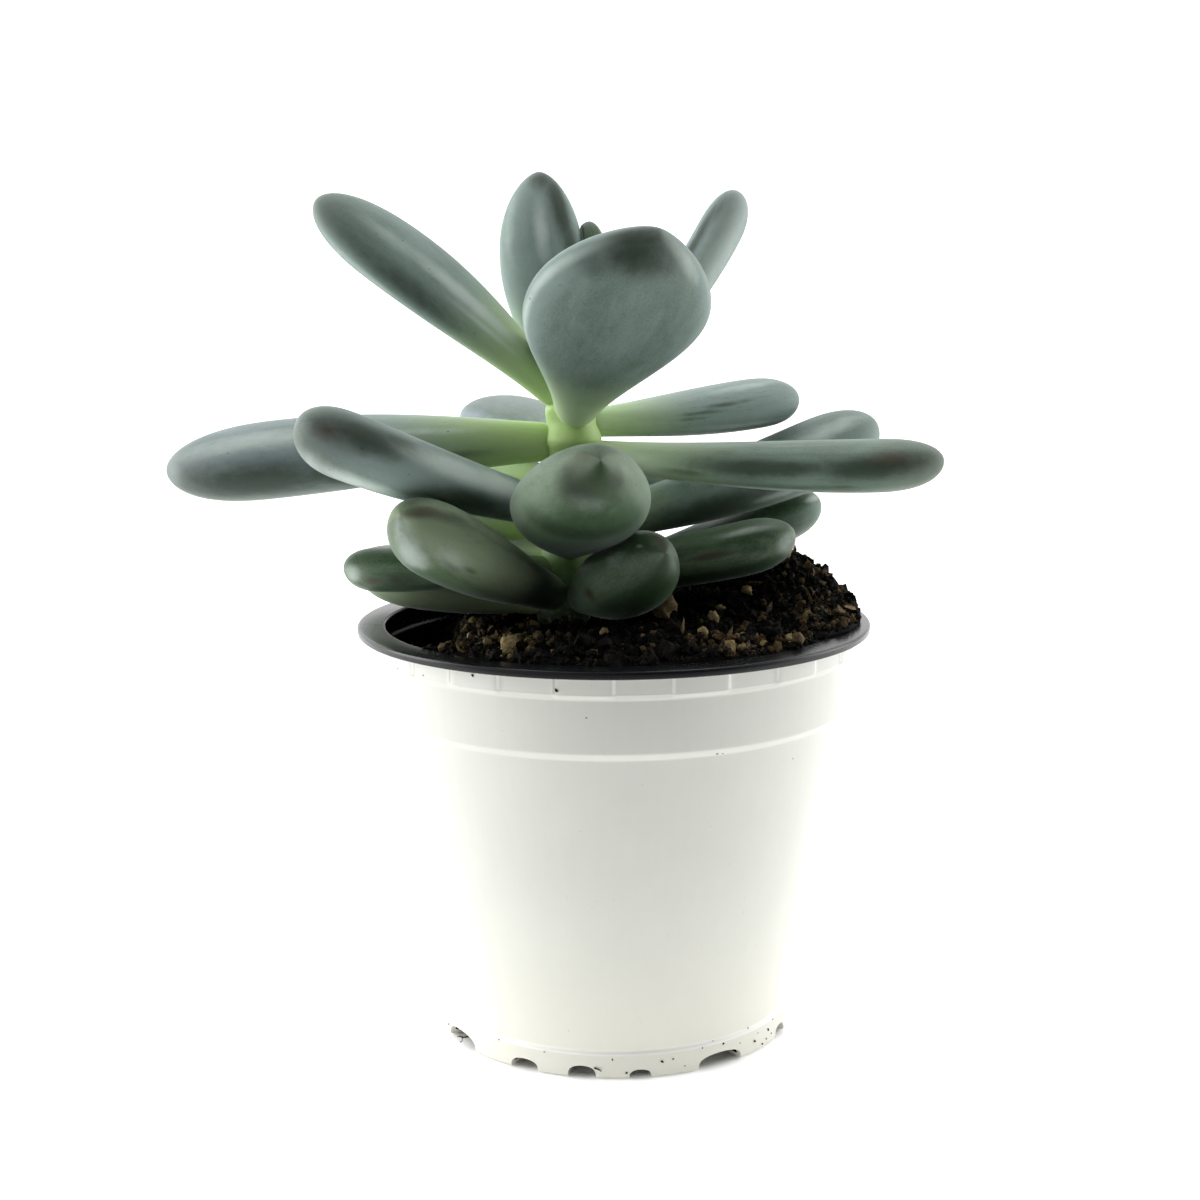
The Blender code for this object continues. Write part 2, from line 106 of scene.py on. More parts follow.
def ring_faces(rings, sides):
    """Quads that join each ring of points to the next."""
    ring, side = np.meshgrid(np.arange(rings - 1), np.arange(sides), indexing="ij")
    after = (side + 1) % sides
    here, beyond = ring * sides, (ring + 1) * sides
    return np.stack([here + side, here + after, beyond + after, beyond + side], -1).reshape(-1, 4).tolist()


def pole_faces(first, sides, pole):
    return [(first + side, first + (side + 1) % sides, pole) for side in range(sides)]


def closed_tube(points, start, end):
    """Points and faces of a tube given as rings x sides x 3, closed by a point at each end."""
    rings, sides = points.shape[:2]
    every = np.concatenate([points.reshape(-1, 3), [start, end]])
    faces = ring_faces(rings, sides)
    faces += pole_faces(0, sides, rings * sides)
    faces += pole_faces((rings - 1) * sides, sides, rings * sides + 1)
    return every, faces


def add_object(name, data):
    obj = bpy.data.objects.new(name, data)
    bpy.context.scene.collection.objects.link(obj)
    return obj


def mesh_of(bm, name):
    """The shape in the making as a mesh."""
    mesh = bpy.data.meshes.new(name)
    bm.to_mesh(mesh)
    bm.free()
    return mesh


def new_object(name, points, faces, materials, fields=None, material_of_face=None):
    """A smooth object with its place in its mesh, its faces turned outwards and its fields on its points."""
    bm = bmesh.new()
    verts = [bm.verts.new(point) for point in in_frame(points)]
    for number, face in enumerate(faces):
        made = bm.faces.new([verts[index] for index in face])
        if material_of_face is not None:
            made.material_index = material_of_face[number]
    bmesh.ops.recalc_face_normals(bm, faces=bm.faces)
    mesh = mesh_of(bm, name)
    for field, values in (fields or {}).items():
        values = np.asarray(values, np.float32)
        if values.ndim == 2:
            mesh.attributes.new(field, "FLOAT_VECTOR", "POINT").data.foreach_set("vector", values.ravel())
        else:
            mesh.attributes.new(field, "FLOAT", "POINT").data.foreach_set("value", values)
    for material in materials:
        mesh.materials.append(material)
    mesh.shade_smooth()
    return add_object(name, mesh)


def hand_over(piece, slot, *nodes):
    """Makes a finished piece part of the plant, in place of the nodes it stands for."""
    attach(piece, "root")
    if nodes:
        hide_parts(*nodes)


def add_node(tree, kind, sockets, **settings):
    """A node with its settings made, and its sockets, by name or number, linked or set."""
    made = tree.nodes.new(kind)
    for name, value in settings.items():
        setattr(made, name, value)
    for socket, value in sockets.items():
        if isinstance(value, bpy.types.NodeSocket):
            tree.links.new(value, made.inputs[socket])
        else:
            made.inputs[socket].default_value = value
    return made


class Finish:
    """A material in the making: its shader, and short ways to add the nodes that feed it."""

    def __init__(self, name, **settings):
        self.material = bpy.data.materials.new(name)
        self.material.use_nodes = True
        self.tree = self.material.node_tree
        self.shader = self.tree.nodes["Principled BSDF"]
        for socket, value in settings.items():
            self.shader.inputs[socket.replace("_", " ")].default_value = value

    def node(self, kind, sockets, **settings):
        return add_node(self.tree, kind, sockets, **settings)

    def feed(self, socket, output):
        self.tree.links.new(output, self.shader.inputs[socket])

    def place(self):
        return self.node("ShaderNodeTexCoord", {}).outputs["Object"]

    def split(self, vector):
        return self.node("ShaderNodeSeparateXYZ", {"Vector": vector}).outputs

    def field(self, name, output="Fac"):
        return self.node("ShaderNodeAttribute", {}, attribute_name=name).outputs[output]

    def stretched(self, vector, scale):
        return self.node("ShaderNodeMapping", {"Vector": vector, "Scale": scale}).outputs["Vector"]

    def from_axis(self, place):
        """The place as seen from the pot's axis."""
        sockets = {"Vector": place, "Location": tuple(-POT_AXIS)}
        return self.node("ShaderNodeMapping", sockets).outputs["Vector"]

    def cloud(self, vector, scale, detail=3.0, roughness=0.55, distortion=0.0):
        sockets = {"Vector": vector, "Scale": scale, "Detail": detail, "Roughness": roughness,
                   "Distortion": distortion}
        return self.node("ShaderNodeTexNoise", sockets).outputs["Fac"]

    def cells(self, vector, scale):
        return self.node("ShaderNodeTexVoronoi", {"Vector": vector, "Scale": scale}).outputs["Distance"]

    def between(self, value, low, high, to_low=0.0, to_high=1.0):
        """The value's rise from low to high, smoothly taken to to_low and to_high."""
        sockets = {"Value": value, "From Min": low, "From Max": high, "To Min": to_low, "To Max": to_high}
        return self.node("ShaderNodeMapRange", sockets, interpolation_type="SMOOTHSTEP").outputs["Result"]

    def maths(self, operation, first, second=0.0):
        return self.node("ShaderNodeMath", {0: first, 1: second}, operation=operation).outputs[0]

    def times(self, first, second):
        return self.maths("MULTIPLY", first, second)

    def plus(self, first, second):
        return self.maths("ADD", first, second)

    def less(self, first, second):
        return self.maths("SUBTRACT", first, second)

    def total(self, first, *others):
        for other in others:
            first = self.plus(first, other)
        return first

    def swing(self, value, middle, gain):
        """How far the value is from its middle, times gain."""
        return self.times(self.less(value, middle), gain)

    def thinned(self, cover, share, most):
        """The cover, less up to most of it where the share is whole."""
        return self.times(cover, self.less(1.0, self.times(share, most)))

    def mixed(self, share, first, second):
        """Two colours mixed; sockets 6 and 7 are the colour ones of the node's four pairs."""
        return self.node("ShaderNodeMix", {0: share, 6: first, 7: second}, data_type="RGBA").outputs[2]

    def coats(self, colour, *coats):
        """The colour under its coats, given as (share, paint), each laid over the last."""
        for share, over in coats:
            colour = self.mixed(share, colour, over)
        return colour

    def bumps(self, height, strength, depth, under=None):
        sockets = {"Height": height, "Strength": strength, "Distance": depth}
        if under is not None:
            sockets["Normal"] = under
        return self.node("ShaderNodeBump", sockets).outputs["Normal"]


# The leaves: the same rows as in the part's source, from the top of the stem down.

Form = namedtuple("Form", "widest neck hollow point blunt fullest neck_depth")
FORMS = {
    "spoon": Form(widest=0.62, neck=0.34, hollow=1.5, point=0.56, blunt=2.3, fullest=0.68, neck_depth=0.52),
    "lance": Form(widest=0.58, neck=0.34, hollow=1.5, point=0.62, blunt=2.2, fullest=0.62, neck_depth=0.52),
    "tongue": Form(widest=0.64, neck=0.34, hollow=1.4, point=0.50, blunt=2.4, fullest=0.74, neck_depth=0.50),
    "club": Form(widest=0.72, neck=0.38, hollow=1.5, point=0.50, blunt=2.6, fullest=0.82, neck_depth=0.56),
    "broad": Form(widest=0.55, neck=0.26, hollow=1.5, point=0.72, blunt=2.0, fullest=0.66, neck_depth=0.50),
    "paddle": Form(widest=0.64, neck=0.21, hollow=1.75, point=0.70, blunt=2.0, fullest=0.68, neck_depth=0.50),
    "stout": Form(widest=0.70, neck=0.50, hollow=1.5, point=0.50, blunt=2.3, fullest=0.78, neck_depth=0.75),
    "egg": Form(widest=0.60, neck=0.24, hollow=1.4, point=0.52, blunt=2.2, fullest=0.64, neck_depth=0.30),
    "plump": Form(widest=0.68, neck=0.36, hollow=1.5, point=0.50, blunt=2.3, fullest=0.76, neck_depth=0.46),
}
Leaf = namedtuple("Leaf", "root azimuth rise length width thickness curl sway roll form")
LEAVES = (
    # Young leaves round the growing tip.
    Leaf(130.5, -155, 66, 17, 7.5, 5.5, 0, 0, 0, "spoon"),
    Leaf(130.5, -35, 70, 16, 7.0, 5.0, 0, 0, 0, "spoon"),
    Leaf(130.5, 82, 54, 43, 10, 7.5, 0, 0, 0, "spoon"),
    # The raised leaves of the crown.
    Leaf(128.0, 102, 56, 57.6, 18.0, 11, -4, -27, -4, "lance"),
    Leaf(128.5, -177, 39.5, 64.5, 18.6, 10, -15, 0, -36, "tongue"),
    Leaf(126.5, 0, 54, 55.5, 12.8, 9, 22, 0, 0, "club"),
    Leaf(125.5, -62.6, 44.7, 53.1, 36.5, 15, -3, 22, -13, "paddle"),
    # The long level leaves.
    Leaf(124.9, 32, 3.5, 55.0, 20, 10, 6, 0, 4, "club"),
    Leaf(121.4, -179, -4.2, 81.5, 23.2, 15, -10, 0, -12, "tongue"),
    Leaf(121.0, 111, 2.5, 54.5, 22, 11, 0, 0, 0, "spoon"),
    Leaf(119.2, -22, 0.5, 76, 19, 10, 8, 0, 4, "club"),
    Leaf(112.0, 64, -1, 52, 20, 10, 0, 0, 0, "spoon"),
    Leaf(112.0, 128, 3, 50, 18, 9, 0, 0, 0, "spoon"),
    # The leaves of the middle of the stem.
    Leaf(107.0, -141, 19.5, 65, 18, 13, 8, 0, -10, "club"),
    Leaf(106.0, 92, -8, 47, 20, 10, 0, 0, 0, "spoon"),
    Leaf(103.8, 21, 15.3, 72, 22, 13.0, 16, 0, 6, "club"),
    Leaf(103.5, 150, 4, 37, 17, 10, 0, 0, 0, "spoon"),
    Leaf(101.0, -80.5, 25.7, 49, 27, 16.8, 8, 10, 0, "broad"),
    Leaf(97.0, 116, -4, 50, 20, 11, 0, 0, 0, "spoon"),
    # The lowest leaves, near the soil.
    Leaf(91.2, 28, 13.4, 62.3, 17.4, 10.4, 9, 0, 0, "club"),
    Leaf(95.0, 72, -3, 50, 20, 11, 0, 0, 0, "spoon"),
    Leaf(96.0, 153, -4, 51, 16, 9, 0, 0, 0, "club"),
    Leaf(95.4, -161, 3, 45.5, 14.5, 8.6, 0, 0, -4, "club"),
    Leaf(93.4, -7, 11.7, 47, 17, 10.8, 6, 0, 4, "stout"),
    Leaf(88.2, -52, 23.8, 34.5, 16.8, 16.2, 0, 0, 14, "egg"),
    Leaf(89.5, -129, 25, 51, 20, 15, 6, 0, -14, "plump"),
    Leaf(88.0, 180, 8, 41.5, 15, 9.5, 0, 0, 0, "spoon"),
)

# How each leaf's skin has weathered: how much powder lies on it, how brown its tip is, how far its root stays
# green, how lavender its powder looks (olive below zero), how green its underside is, with less powder there
# as partly painted shade, how much of the powder is scratched off and how yellow the green of its root is.
# Leaves not named have the DEFAULT_SKIN.
Skin = namedtuple("Skin", "powder blush green lavender under scratched yellow", defaults=(0.5,))
DEFAULT_SKIN = Skin(powder=0.55, blush=0.35, green=0.45, lavender=0.20, under=0.6, scratched=0.3)
SKINS = {
    1: Skin(0.60, 0.10, 0.60, 0.10, 0.5, 0.1),
    2: Skin(0.60, 0.10, 0.60, 0.10, 0.5, 0.1),
    3: Skin(0.10, 0.10, 0.30, 0.00, 0.5, 0.3),
    4: Skin(0.80, 0.15, 0.45, 0.25, 0.5, 0.2),
    5: Skin(0.74, 0.30, 0.60, 0.20, 0.4, 0.3, 0.6),
    6: Skin(0.85, 0.10, 0.40, 0.45, 0.1, 0.3),
    7: Skin(0.58, 0.20, 0.36, 0.28, 0.0, 0.0, 0.3),
    8: Skin(0.74, 0.15, 0.55, 0.25, 0.4, 0.6, 0.2),
    9: Skin(0.66, 0.30, 0.55, 0.50, 0.9, 0.2, 0.7),
    10: Skin(0.32, 0.50, 0.10, 0.90, 0.5, 0.1),
    11: Skin(0.50, 0.40, 0.60, 0.05, 0.7, 0.3, 0.2),
    13: Skin(0.60, 0.20, 0.90, 0.10, 0.5, 0.2, 0.6),
    14: Skin(0.58, 0.40, 0.10, 0.35, 0.3, 0.2),
    16: Skin(0.60, 0.20, 0.25, 0.25, 1.0, 0.2, 0.3),
    17: Skin(0.35, 0.10, 0.95, 0.05, 0.4, 0.2, 1.0),
    18: Skin(0.42, 0.15, 0.05, -0.45, 1.0, 0.2),
    20: Skin(0.16, 0.10, 0.10, 0.00, 0.9, 0.3),
    22: Skin(0.36, 0.10, 0.30, -0.40, 0.3, 0.2),
    23: Skin(0.20, 0.15, 0.15, -0.40, 0.5, 0.3),
    # Leaves 24 to 26 keep little green at the root, and 24 and 25 little powder, as painted shade under the
    # crown.
    24: Skin(0.10, 0.10, 0.08, -0.50, 1.0, 0.3),
    25: Skin(0.17, 0.10, 0.08, -0.50, 1.0, 0.2),
    26: Skin(0.52, 0.10, 0.05, -0.90, 0.9, 0.4),
    27: Skin(0.85, 0.10, 0.50, -0.90, 0.0, 0.2),
}

# Marks on the skin: the share of the leaf's length at which they lie, from the root (0) to the tip (1), their
# turn about the leaf, from one edge (0) by the upper face (90), and their reach along and across it. Dark
# marks are partly powder rubbed off and partly painted shade; pale marks are partly heaped powder and partly
# painted highlights and light.
Mark = namedtuple("Mark", "kind share turn along across strength")
MARKS = {
    4: (Mark("dark", 0.80, 126, 12, 2.2, 1.0), Mark("dark", 0.60, 132, 11, 2.2, 0.9),
        Mark("dark", 0.93, 104, 4, 3.0, 0.8), Mark("pale", 0.68, 90, 8, 1.3, 0.8),
        Mark("pale", 0.72, 40, 12, 1.8, 0.4)),
    5: (Mark("pale", 0.47, 78, 15, 1.5, 0.9), Mark("pale", 0.34, 56, 10, 0.7, 0.7),
        Mark("pale", 0.74, 76, 10, 1.6, 0.5), Mark("dark", 0.62, 20, 17, 4.0, 0.6),
        Mark("dark", 0.83, 28, 8, 3.0, 0.35), Mark("pale", 0.78, 345, 14, 1.4, 0.5),
        Mark("brown", 0.94, 20, 4.0, 3.0, 0.25)),
    # The pale marks of leaf 6, on its right side, are painted light.
    6: (Mark("dark", 0.72, 132, 16, 1.9, 0.9), Mark("dark", 0.92, 150, 5, 1.6, 0.6),
        Mark("pale", 0.74, 205, 19, 4.2, 1.0), Mark("pale", 0.90, 200, 6, 1.6, 0.8)),
    7: (Mark("dark", 0.935, 238, 3.6, 7.5, 0.8), Mark("dark", 0.965, 196, 2.8, 4.4, 0.8),
        Mark("dark", 0.87, 212, 4.0, 5.0, 0.45), Mark("pale", 0.93, 322, 4.0, 2.4, 0.6),
        Mark("pale", 0.76, 190, 9, 1.8, 0.7), Mark("pale", 0.54, 192, 10, 1.6, 0.7),
        Mark("pale", 0.74, 345, 10, 1.8, 0.4), Mark("dark", 0.34, 262, 7, 9, 0.3),
        Mark("pale", 0.12, 270, 4.0, 5.0, 0.4)),
    8: (Mark("dark", 0.47, 165, 6, 0.7, 0.6), Mark("dark", 0.57, 150, 5, 0.8, 0.7),
        Mark("dark", 0.42, 180, 5, 0.7, 0.5), Mark("dark", 0.66, 148, 4, 0.6, 0.5),
        Mark("pale", 0.75, 110, 12, 1.6, 0.5), Mark("pale", 0.66, 212, 16, 1.3, 0.6)),
    9: (Mark("pale", 0.74, 56, 20, 3.2, 0.7), Mark("dark", 0.76, 347, 20, 6.4, 1.0),
        Mark("dark", 0.52, 347, 15, 4.6, 1.0), Mark("pale", 0.33, 52, 12, 1.2, 0.6),
        Mark("pale", 0.97, 20, 2.5, 5, 0.4), Mark("dark", 0.28, 356, 10, 1.6, 0.5)),
    11: (Mark("pale", 0.13, 200, 11, 5.0, 0.7), Mark("brown", 0.89, 150, 5.0, 2.4, 0.6),
         Mark("brown", 0.77, 214, 2.4, 0.7, 0.7), Mark("dark", 0.84, 172, 12, 4.6, 1.0),
         Mark("dark", 0.56, 172, 18, 3.2, 1.0), Mark("pale", 0.97, 195, 1.6, 3.6, 0.2),
         Mark("pale", 0.55, 234, 17, 1.2, 0.6), Mark("dark", 0.36, 196, 8, 1.4, 0.6)),
    # The dark marks near the tip of leaf 14 are partly painted shade.
    14: (Mark("brown", 0.96, 14, 2.4, 2.4, 0.6), Mark("dark", 0.84, 26, 9, 4.2, 1.0),
         Mark("dark", 0.72, 40, 7, 2.6, 0.9), Mark("dark", 0.44, 338, 10, 3.0, 1.0),
         Mark("pale", 0.80, 304, 9, 2.2, 0.9), Mark("pale", 0.93, 292, 3, 3.0, 0.6),
         Mark("pale", 0.50, 32, 14, 3.2, 1.0), Mark("pale", 0.34, 34, 9, 3.4, 1.0)),
    16: (Mark("pale", 0.84, 122, 10, 2.6, 0.7), Mark("dark", 0.42, 200, 18, 6.0, 1.0),
         Mark("pale", 0.60, 200, 8, 1.6, 0.5)),
    # The two last dark marks of leaf 18, across its underside, are painted shade.
    18: (Mark("brown", 0.965, 150, 1.8, 2.4, 0.4), Mark("dark", 0.92, 215, 2.6, 5.0, 0.9),
         Mark("dark", 0.95, 320, 1.6, 3.0, 0.5), Mark("pale", 0.89, 262, 2.6, 6.0, 0.3),
         Mark("pale", 0.86, 285, 3.0, 4.0, 0.22), Mark("pale", 0.84, 184, 3.0, 1.4, 0.2),
         Mark("pale", 0.93, 350, 2.4, 1.6, 0.25), Mark("dark", 0.70, 258, 3.6, 10.0, 1.0),
         Mark("dark", 0.50, 270, 8.0, 10.0, 1.0)),
    # The first pale mark of leaf 20, near its tip, is a painted glint.
    20: (Mark("pale", 0.94, 146, 2.4, 1.0, 1.0), Mark("dark", 0.70, 190, 14, 5.0, 0.9)),
    23: (Mark("brown", 0.90, 342, 1.6, 1.2, 0.8), Mark("brown", 0.80, 350, 1.2, 0.9, 0.6),
         Mark("pale", 0.97, 351, 1.2, 2.4, 0.7), Mark("dark", 0.80, 350, 6, 2.6, 0.6)),
    24: (Mark("brown", 0.64, 168, 5.0, 1.3, 1.0), Mark("dark", 0.60, 225, 16, 3.8, 1.0),
         Mark("pale", 0.80, 128, 6, 1.4, 0.5), Mark("pale", 0.95, 190, 1.8, 3.0, 0.5)),
    25: (Mark("brown", 0.96, 69, 1.8, 1.6, 0.9), Mark("brown", 0.52, 184, 1.5, 1.6, 1.0),
         Mark("pale", 0.93, 130, 0.7, 0.6, 0.5), Mark("dark", 0.60, 225, 8, 5.0, 0.9),
         Mark("pale", 0.80, 150, 4.0, 2.4, 0.35)),
    26: (Mark("brown", 0.96, 52, 2.4, 1.6, 0.9), Mark("pale", 0.93, 300, 4.0, 3.4, 0.7),
         Mark("pale", 0.84, 340, 6.0, 3.0, 0.4), Mark("dark", 0.90, 46, 6, 2.2, 0.7),
         Mark("dark", 0.24, 340, 8, 9.0, 1.0), Mark("dark", 0.81, 332, 2.6, 0.6, 0.8),
         Mark("dark", 0.74, 340, 2.4, 0.6, 0.7), Mark("dark", 0.60, 270, 12, 4.0, 0.9)),
}

# The stem's and the leaves' sizes, the dents' and the skin's; a start or a spread is a share of the length.
STEM_FOOT = np.array([-10.6, 0.0, 70.0])
STEM_TOP = np.array([-8.2, 0.0, 130.5])
STEM_FOOT_RADIUS = 5.6
STEM_TOP_RADIUS = 4.3
ROOT_ROUNDING = 0.07
ROOT_OFFSET = 1.0
UPPER_FULLNESS = 0.9
LOWER_FULLNESS = 1.1
SPINE_STEPS = 60
LEAF_RINGS = 88
LEAF_SIDES = 84
DENT_CLEARANCE = 0.3
DENT_STARTS = 0.08
DENT_GROWS = 0.1
DENT_HALVINGS = 9
DENT_SMOOTHINGS = 3
LEAST_DENTED = 0.12
SKIN_WAVE = 0.010
SKIN_RIPPLE = 0.6
RIPPLES = 13
TIP_INSET = 0.3
FULLY_GREEN = 0.3
BLUSH_STARTS = 0.80
BLUSH_LENGTH = 0.20
SHORTEST_GREEN = 0.20
GREEN_SPREAD = 0.60


def stem_axis(height):
    return STEM_FOOT + (STEM_TOP - STEM_FOOT) * (height - STEM_FOOT[2]) / (STEM_TOP[2] - STEM_FOOT[2])


def swell(share, widest, neck, hollow, point, blunt):
    """A leaf's half-breadth at a share of its length, as a share of its largest."""
    rising = neck + (1 - neck) * np.sin(math.pi / 2 * np.clip(share / widest, 0, 1)) ** hollow
    fall = np.clip((share - widest) / (1 - widest), 0, 1)
    return np.where(share < widest, rising, np.clip(1 - fall ** blunt, 0, 1) ** point)


def directions(azimuth, rise):
    """Unit vectors, one a row, at azimuths and rises in radians."""
    return np.stack([np.cos(rise) * np.cos(azimuth), np.cos(rise) * np.sin(azimuth), np.sin(rise)], 1)


class LeafBody:
    """A leaf's spine, and what its skin does at each share of its length."""

    def __init__(self, leaf):
        self.leaf = leaf
        steps = np.linspace(0, 1, SPINE_STEPS + 1)
        azimuth = np.radians(leaf.azimuth + leaf.sway * (steps - 0.5))
        rise = np.radians(leaf.rise + leaf.curl * (steps - 0.5))
        start = stem_axis(leaf.root) + heading(leaf.azimuth - leaf.sway / 2) * ROOT_OFFSET
        travelled = np.cumsum(directions(azimuth, rise)[:-1], 0) * leaf.length / SPINE_STEPS
        self.steps = steps
        self.azimuth, self.rise = azimuth, rise
        self.places = start + np.concatenate([np.zeros((1, 3)), travelled])

    def at(self, share):
        """Place, along, sideways and facing at each share."""
        azimuth = np.interp(share, self.steps, self.azimuth)
        rise = np.interp(share, self.steps, self.rise)
        place = np.stack([np.interp(share, self.steps, self.places[:, axis]) for axis in range(3)], 1)
        along = directions(azimuth, rise)
        across = np.stack([-np.sin(azimuth), np.cos(azimuth), np.zeros_like(azimuth)], 1)
        upwards = np.cross(along, across)
        roll = math.radians(self.leaf.roll)
        sideways = across * math.cos(roll) + upwards * math.sin(roll)
        facing = upwards * math.cos(roll) - across * math.sin(roll)
        return place, along, sideways, facing

    def half_sizes(self, share):
        form = FORMS[self.leaf.form]
        gone = 1 - np.clip(share / ROOT_ROUNDING, 0, 1)
        rounding = np.sqrt(1 - gone * gone)
        breadth = swell(share, form.widest, form.neck, form.hollow, form.point, form.blunt) * rounding
        depth = swell(share, form.fullest, form.neck_depth, form.hollow, 0.5, form.blunt) * rounding
        return self.leaf.width / 2 * breadth, self.leaf.thickness / 2 * depth

    def closeness(self, points, extra):
        """Below 1 inside the leaf grown by extra all round, above 1 outside it."""
        gaps = points[:, None, :] - self.places[None, :, :]
        nearest = np.argmin((gaps * gaps).sum(-1), 1)
        _, along, sideways, facing = self.at(self.steps)
        gap = gaps[np.arange(len(points)), nearest]
        ahead = (gap * along[nearest]).sum(-1)
        share = np.clip(self.steps[nearest] + ahead / self.leaf.length, 0, 1)
        past_end = np.abs(self.steps[nearest] + ahead / self.leaf.length - share) * self.leaf.length
        width, depth = self.half_sizes(share)
        side = (gap * sideways[nearest]).sum(-1)
        up = (gap * facing[nearest]).sum(-1)
        fullness = np.where(up > 0, UPPER_FULLNESS, LOWER_FULLNESS)
        return np.sqrt((side / (width + extra)) ** 2 + (up / (depth * fullness + extra)) ** 2
                       + (past_end / extra) ** 2)


def reached(leaf):
    """The share of the leaf's length that its skin reaches, a little short of the solid's tip."""
    return 1 - TIP_INSET / leaf.length


def leaf_rings(body, number):
    """The skin before any dents: each ring's share and middle, each side's turn, and its points' offsets."""
    share = 0.5 - 0.5 * np.cos(math.pi * np.arange(1, LEAF_RINGS) / LEAF_RINGS)
    turn = 2 * math.pi * np.arange(LEAF_SIDES) / LEAF_SIDES
    place, _, sideways, facing = body.at(share * reached(body.leaf))
    width, depth = body.half_sizes(share)
    draw = random.Random(number)
    lobes, phase, twist = draw.choice((2, 3)), draw.uniform(0, 6.3), draw.uniform(3, 7)
    wave = SKIN_WAVE * np.sin(lobes * turn[None, :] + phase + twist * share[:, None])
    ripple = SKIN_WAVE * SKIN_RIPPLE * np.sin(RIPPLES * share[:, None] + 2 * phase)
    wave += ripple * np.cos(turn[None, :] - phase)
    fullness = np.where(np.sin(turn) > 0, UPPER_FULLNESS, LOWER_FULLNESS)
    across = (1 + wave) * width[:, None] * np.cos(turn)[None, :]
    up = (1 + wave) * depth[:, None] * (fullness * np.sin(turn))[None, :]
    offsets = across[..., None] * sideways[:, None, :] + up[..., None] * facing[:, None, :]
    return share, turn, place, offsets, across, up


def dents(place, offsets, share, neighbours):
    """How far each skin point is drawn in, from 1 down, to leave room for the wider leaves beside it."""
    shrink = np.ones(offsets.shape[:2])
    points = place[:, None, :] + offsets
    low, high = points.min((0, 1)), points.max((0, 1))
    for wider in neighbours:
        reach = max(wider.leaf.width, wider.leaf.thickness) / 2 + 1
        if np.any(wider.places.min(0) - reach > high) or np.any(wider.places.max(0) + reach < low):
            continue
        inside = wider.closeness(points.reshape(-1, 3), DENT_CLEARANCE).reshape(shrink.shape) < 1
        rings, sides = np.nonzero(inside)
        if not len(rings):
            continue
        least, most = np.full(len(rings), LEAST_DENTED), np.ones(len(rings))
        for _ in range(DENT_HALVINGS):
            middle = (least + most) / 2
            tried = place[rings] + offsets[rings, sides] * middle[:, None]
            clear = wider.closeness(tried, DENT_CLEARANCE) >= 1
            least, most = np.where(clear, middle, least), np.where(clear, most, middle)
        shrink[rings, sides] = np.minimum(shrink[rings, sides], least)
    softened = shrink
    for _ in range(DENT_SMOOTHINGS):
        level = (softened + np.roll(softened, 1, 1) + np.roll(softened, -1, 1)) / 3
        inner = np.concatenate([level[:1], level, level[-1:]])
        softened = (inner[:-2] + inner[1:-1] + inner[2:]) / 3
    shrink = np.minimum(shrink, softened)
    begun = ease((share - DENT_STARTS) / DENT_GROWS)[:, None]
    return 1 - begun * (1 - shrink)


def make_leaf(number, body, neighbours, material):
    share, turn, place, offsets, across, up = leaf_rings(body, number)
    shrink = dents(place, offsets, share, neighbours)
    points = place[:, None, :] + offsets * shrink[..., None]
    end_place = body.at(np.array([0.0, reached(body.leaf)]))[0]
    every, faces = closed_tube(points, end_place[0], end_place[1])
    skin = SKINS.get(number, DEFAULT_SKIN)
    draw = random.Random(100 + number)
    shift = np.array([draw.uniform(-500, 500) for _ in range(3)])

    def field(values, at_root, at_tip):
        return np.concatenate([np.broadcast_to(values, points.shape[:2]).ravel(), [at_root, at_tip]])

    share_grid = np.broadcast_to(share[:, None], points.shape[:2])
    green_reach = SHORTEST_GREEN + GREEN_SPREAD * skin.green
    fresh = min(1.0, skin.green / FULLY_GREEN)
    run = np.stack([across, up, share_grid * body.leaf.length], -1).reshape(-1, 3)
    fields = {
        "along": field(share_grid, 0.0, 1.0),
        "upper": field(np.sin(turn)[None, :], 0.0, 0.0),
        "margin": field(np.abs(np.cos(turn))[None, :], 0.0, 0.0),
        "tip_blush": field(ease((share_grid - BLUSH_STARTS) / BLUSH_LENGTH) * skin.blush, 0.0, skin.blush),
        "root_green": field((1 - ease(share_grid / green_reach)) * fresh, fresh, 0.0),
        "leaf_run": np.concatenate([run, [[0, 0, 0], [0, 0, body.leaf.length]]]) + shift,
    }
    for name, value in (("powder", skin.powder), ("root_yellow", skin.yellow), ("lavender", skin.lavender),
                        ("green_under", skin.under), ("scratched", skin.scratched)):
        fields[name] = field(value, value, value)
    marked = {kind: np.zeros(points.shape[:2]) for kind in ("dark", "pale", "brown")}
    round_reach = (np.abs(across).max(1) + np.abs(up).max(1))[:, None] / 2
    for mark in MARKS.get(number, ()):
        ahead = (share_grid - mark.share) * body.leaf.length / mark.along
        aside = np.radians(angle_apart(np.degrees(turn)[None, :], mark.turn)) * round_reach / mark.across
        marked[mark.kind] = np.maximum(marked[mark.kind], mark.strength * np.exp(-ahead ** 2 - aside ** 2))
    for kind, strength in marked.items():
        fields[f"marked_{kind}"] = field(strength, 0.0, strength[-1].mean())
    leaf = new_object(f"leaf_{number:02d}_skin", every, faces, [material], fields)
    hand_over(leaf, "leaf", f"leaf_{number:02d}")


# The leaf's paints.
DEEP_GREEN, LIGHT_GREEN = paint(36, 62, 34), paint(62, 94, 56)
THIN_POWDER, THICK_POWDER = paint(106, 130, 116), paint(146, 167, 154)
LAVENDER_POWDER, OLIVE_POWDER = paint(140, 148, 162), paint(138, 154, 122)
PALE_ROOT, YELLOW_ROOT = paint(208, 228, 186), paint(192, 226, 122)
# Dark marks show bare green that is partly painted shade; pale marks show powder that is partly painted
# highlight.
BARE_AND_SHADE, POWDER_AND_HIGHLIGHT = paint(30, 48, 28), paint(200, 213, 207)
BROWNED_TIP, BRUISE, FLECK = paint(92, 88, 76), paint(76, 64, 48), paint(66, 56, 44)
SHEEN = paint(228, 238, 242)


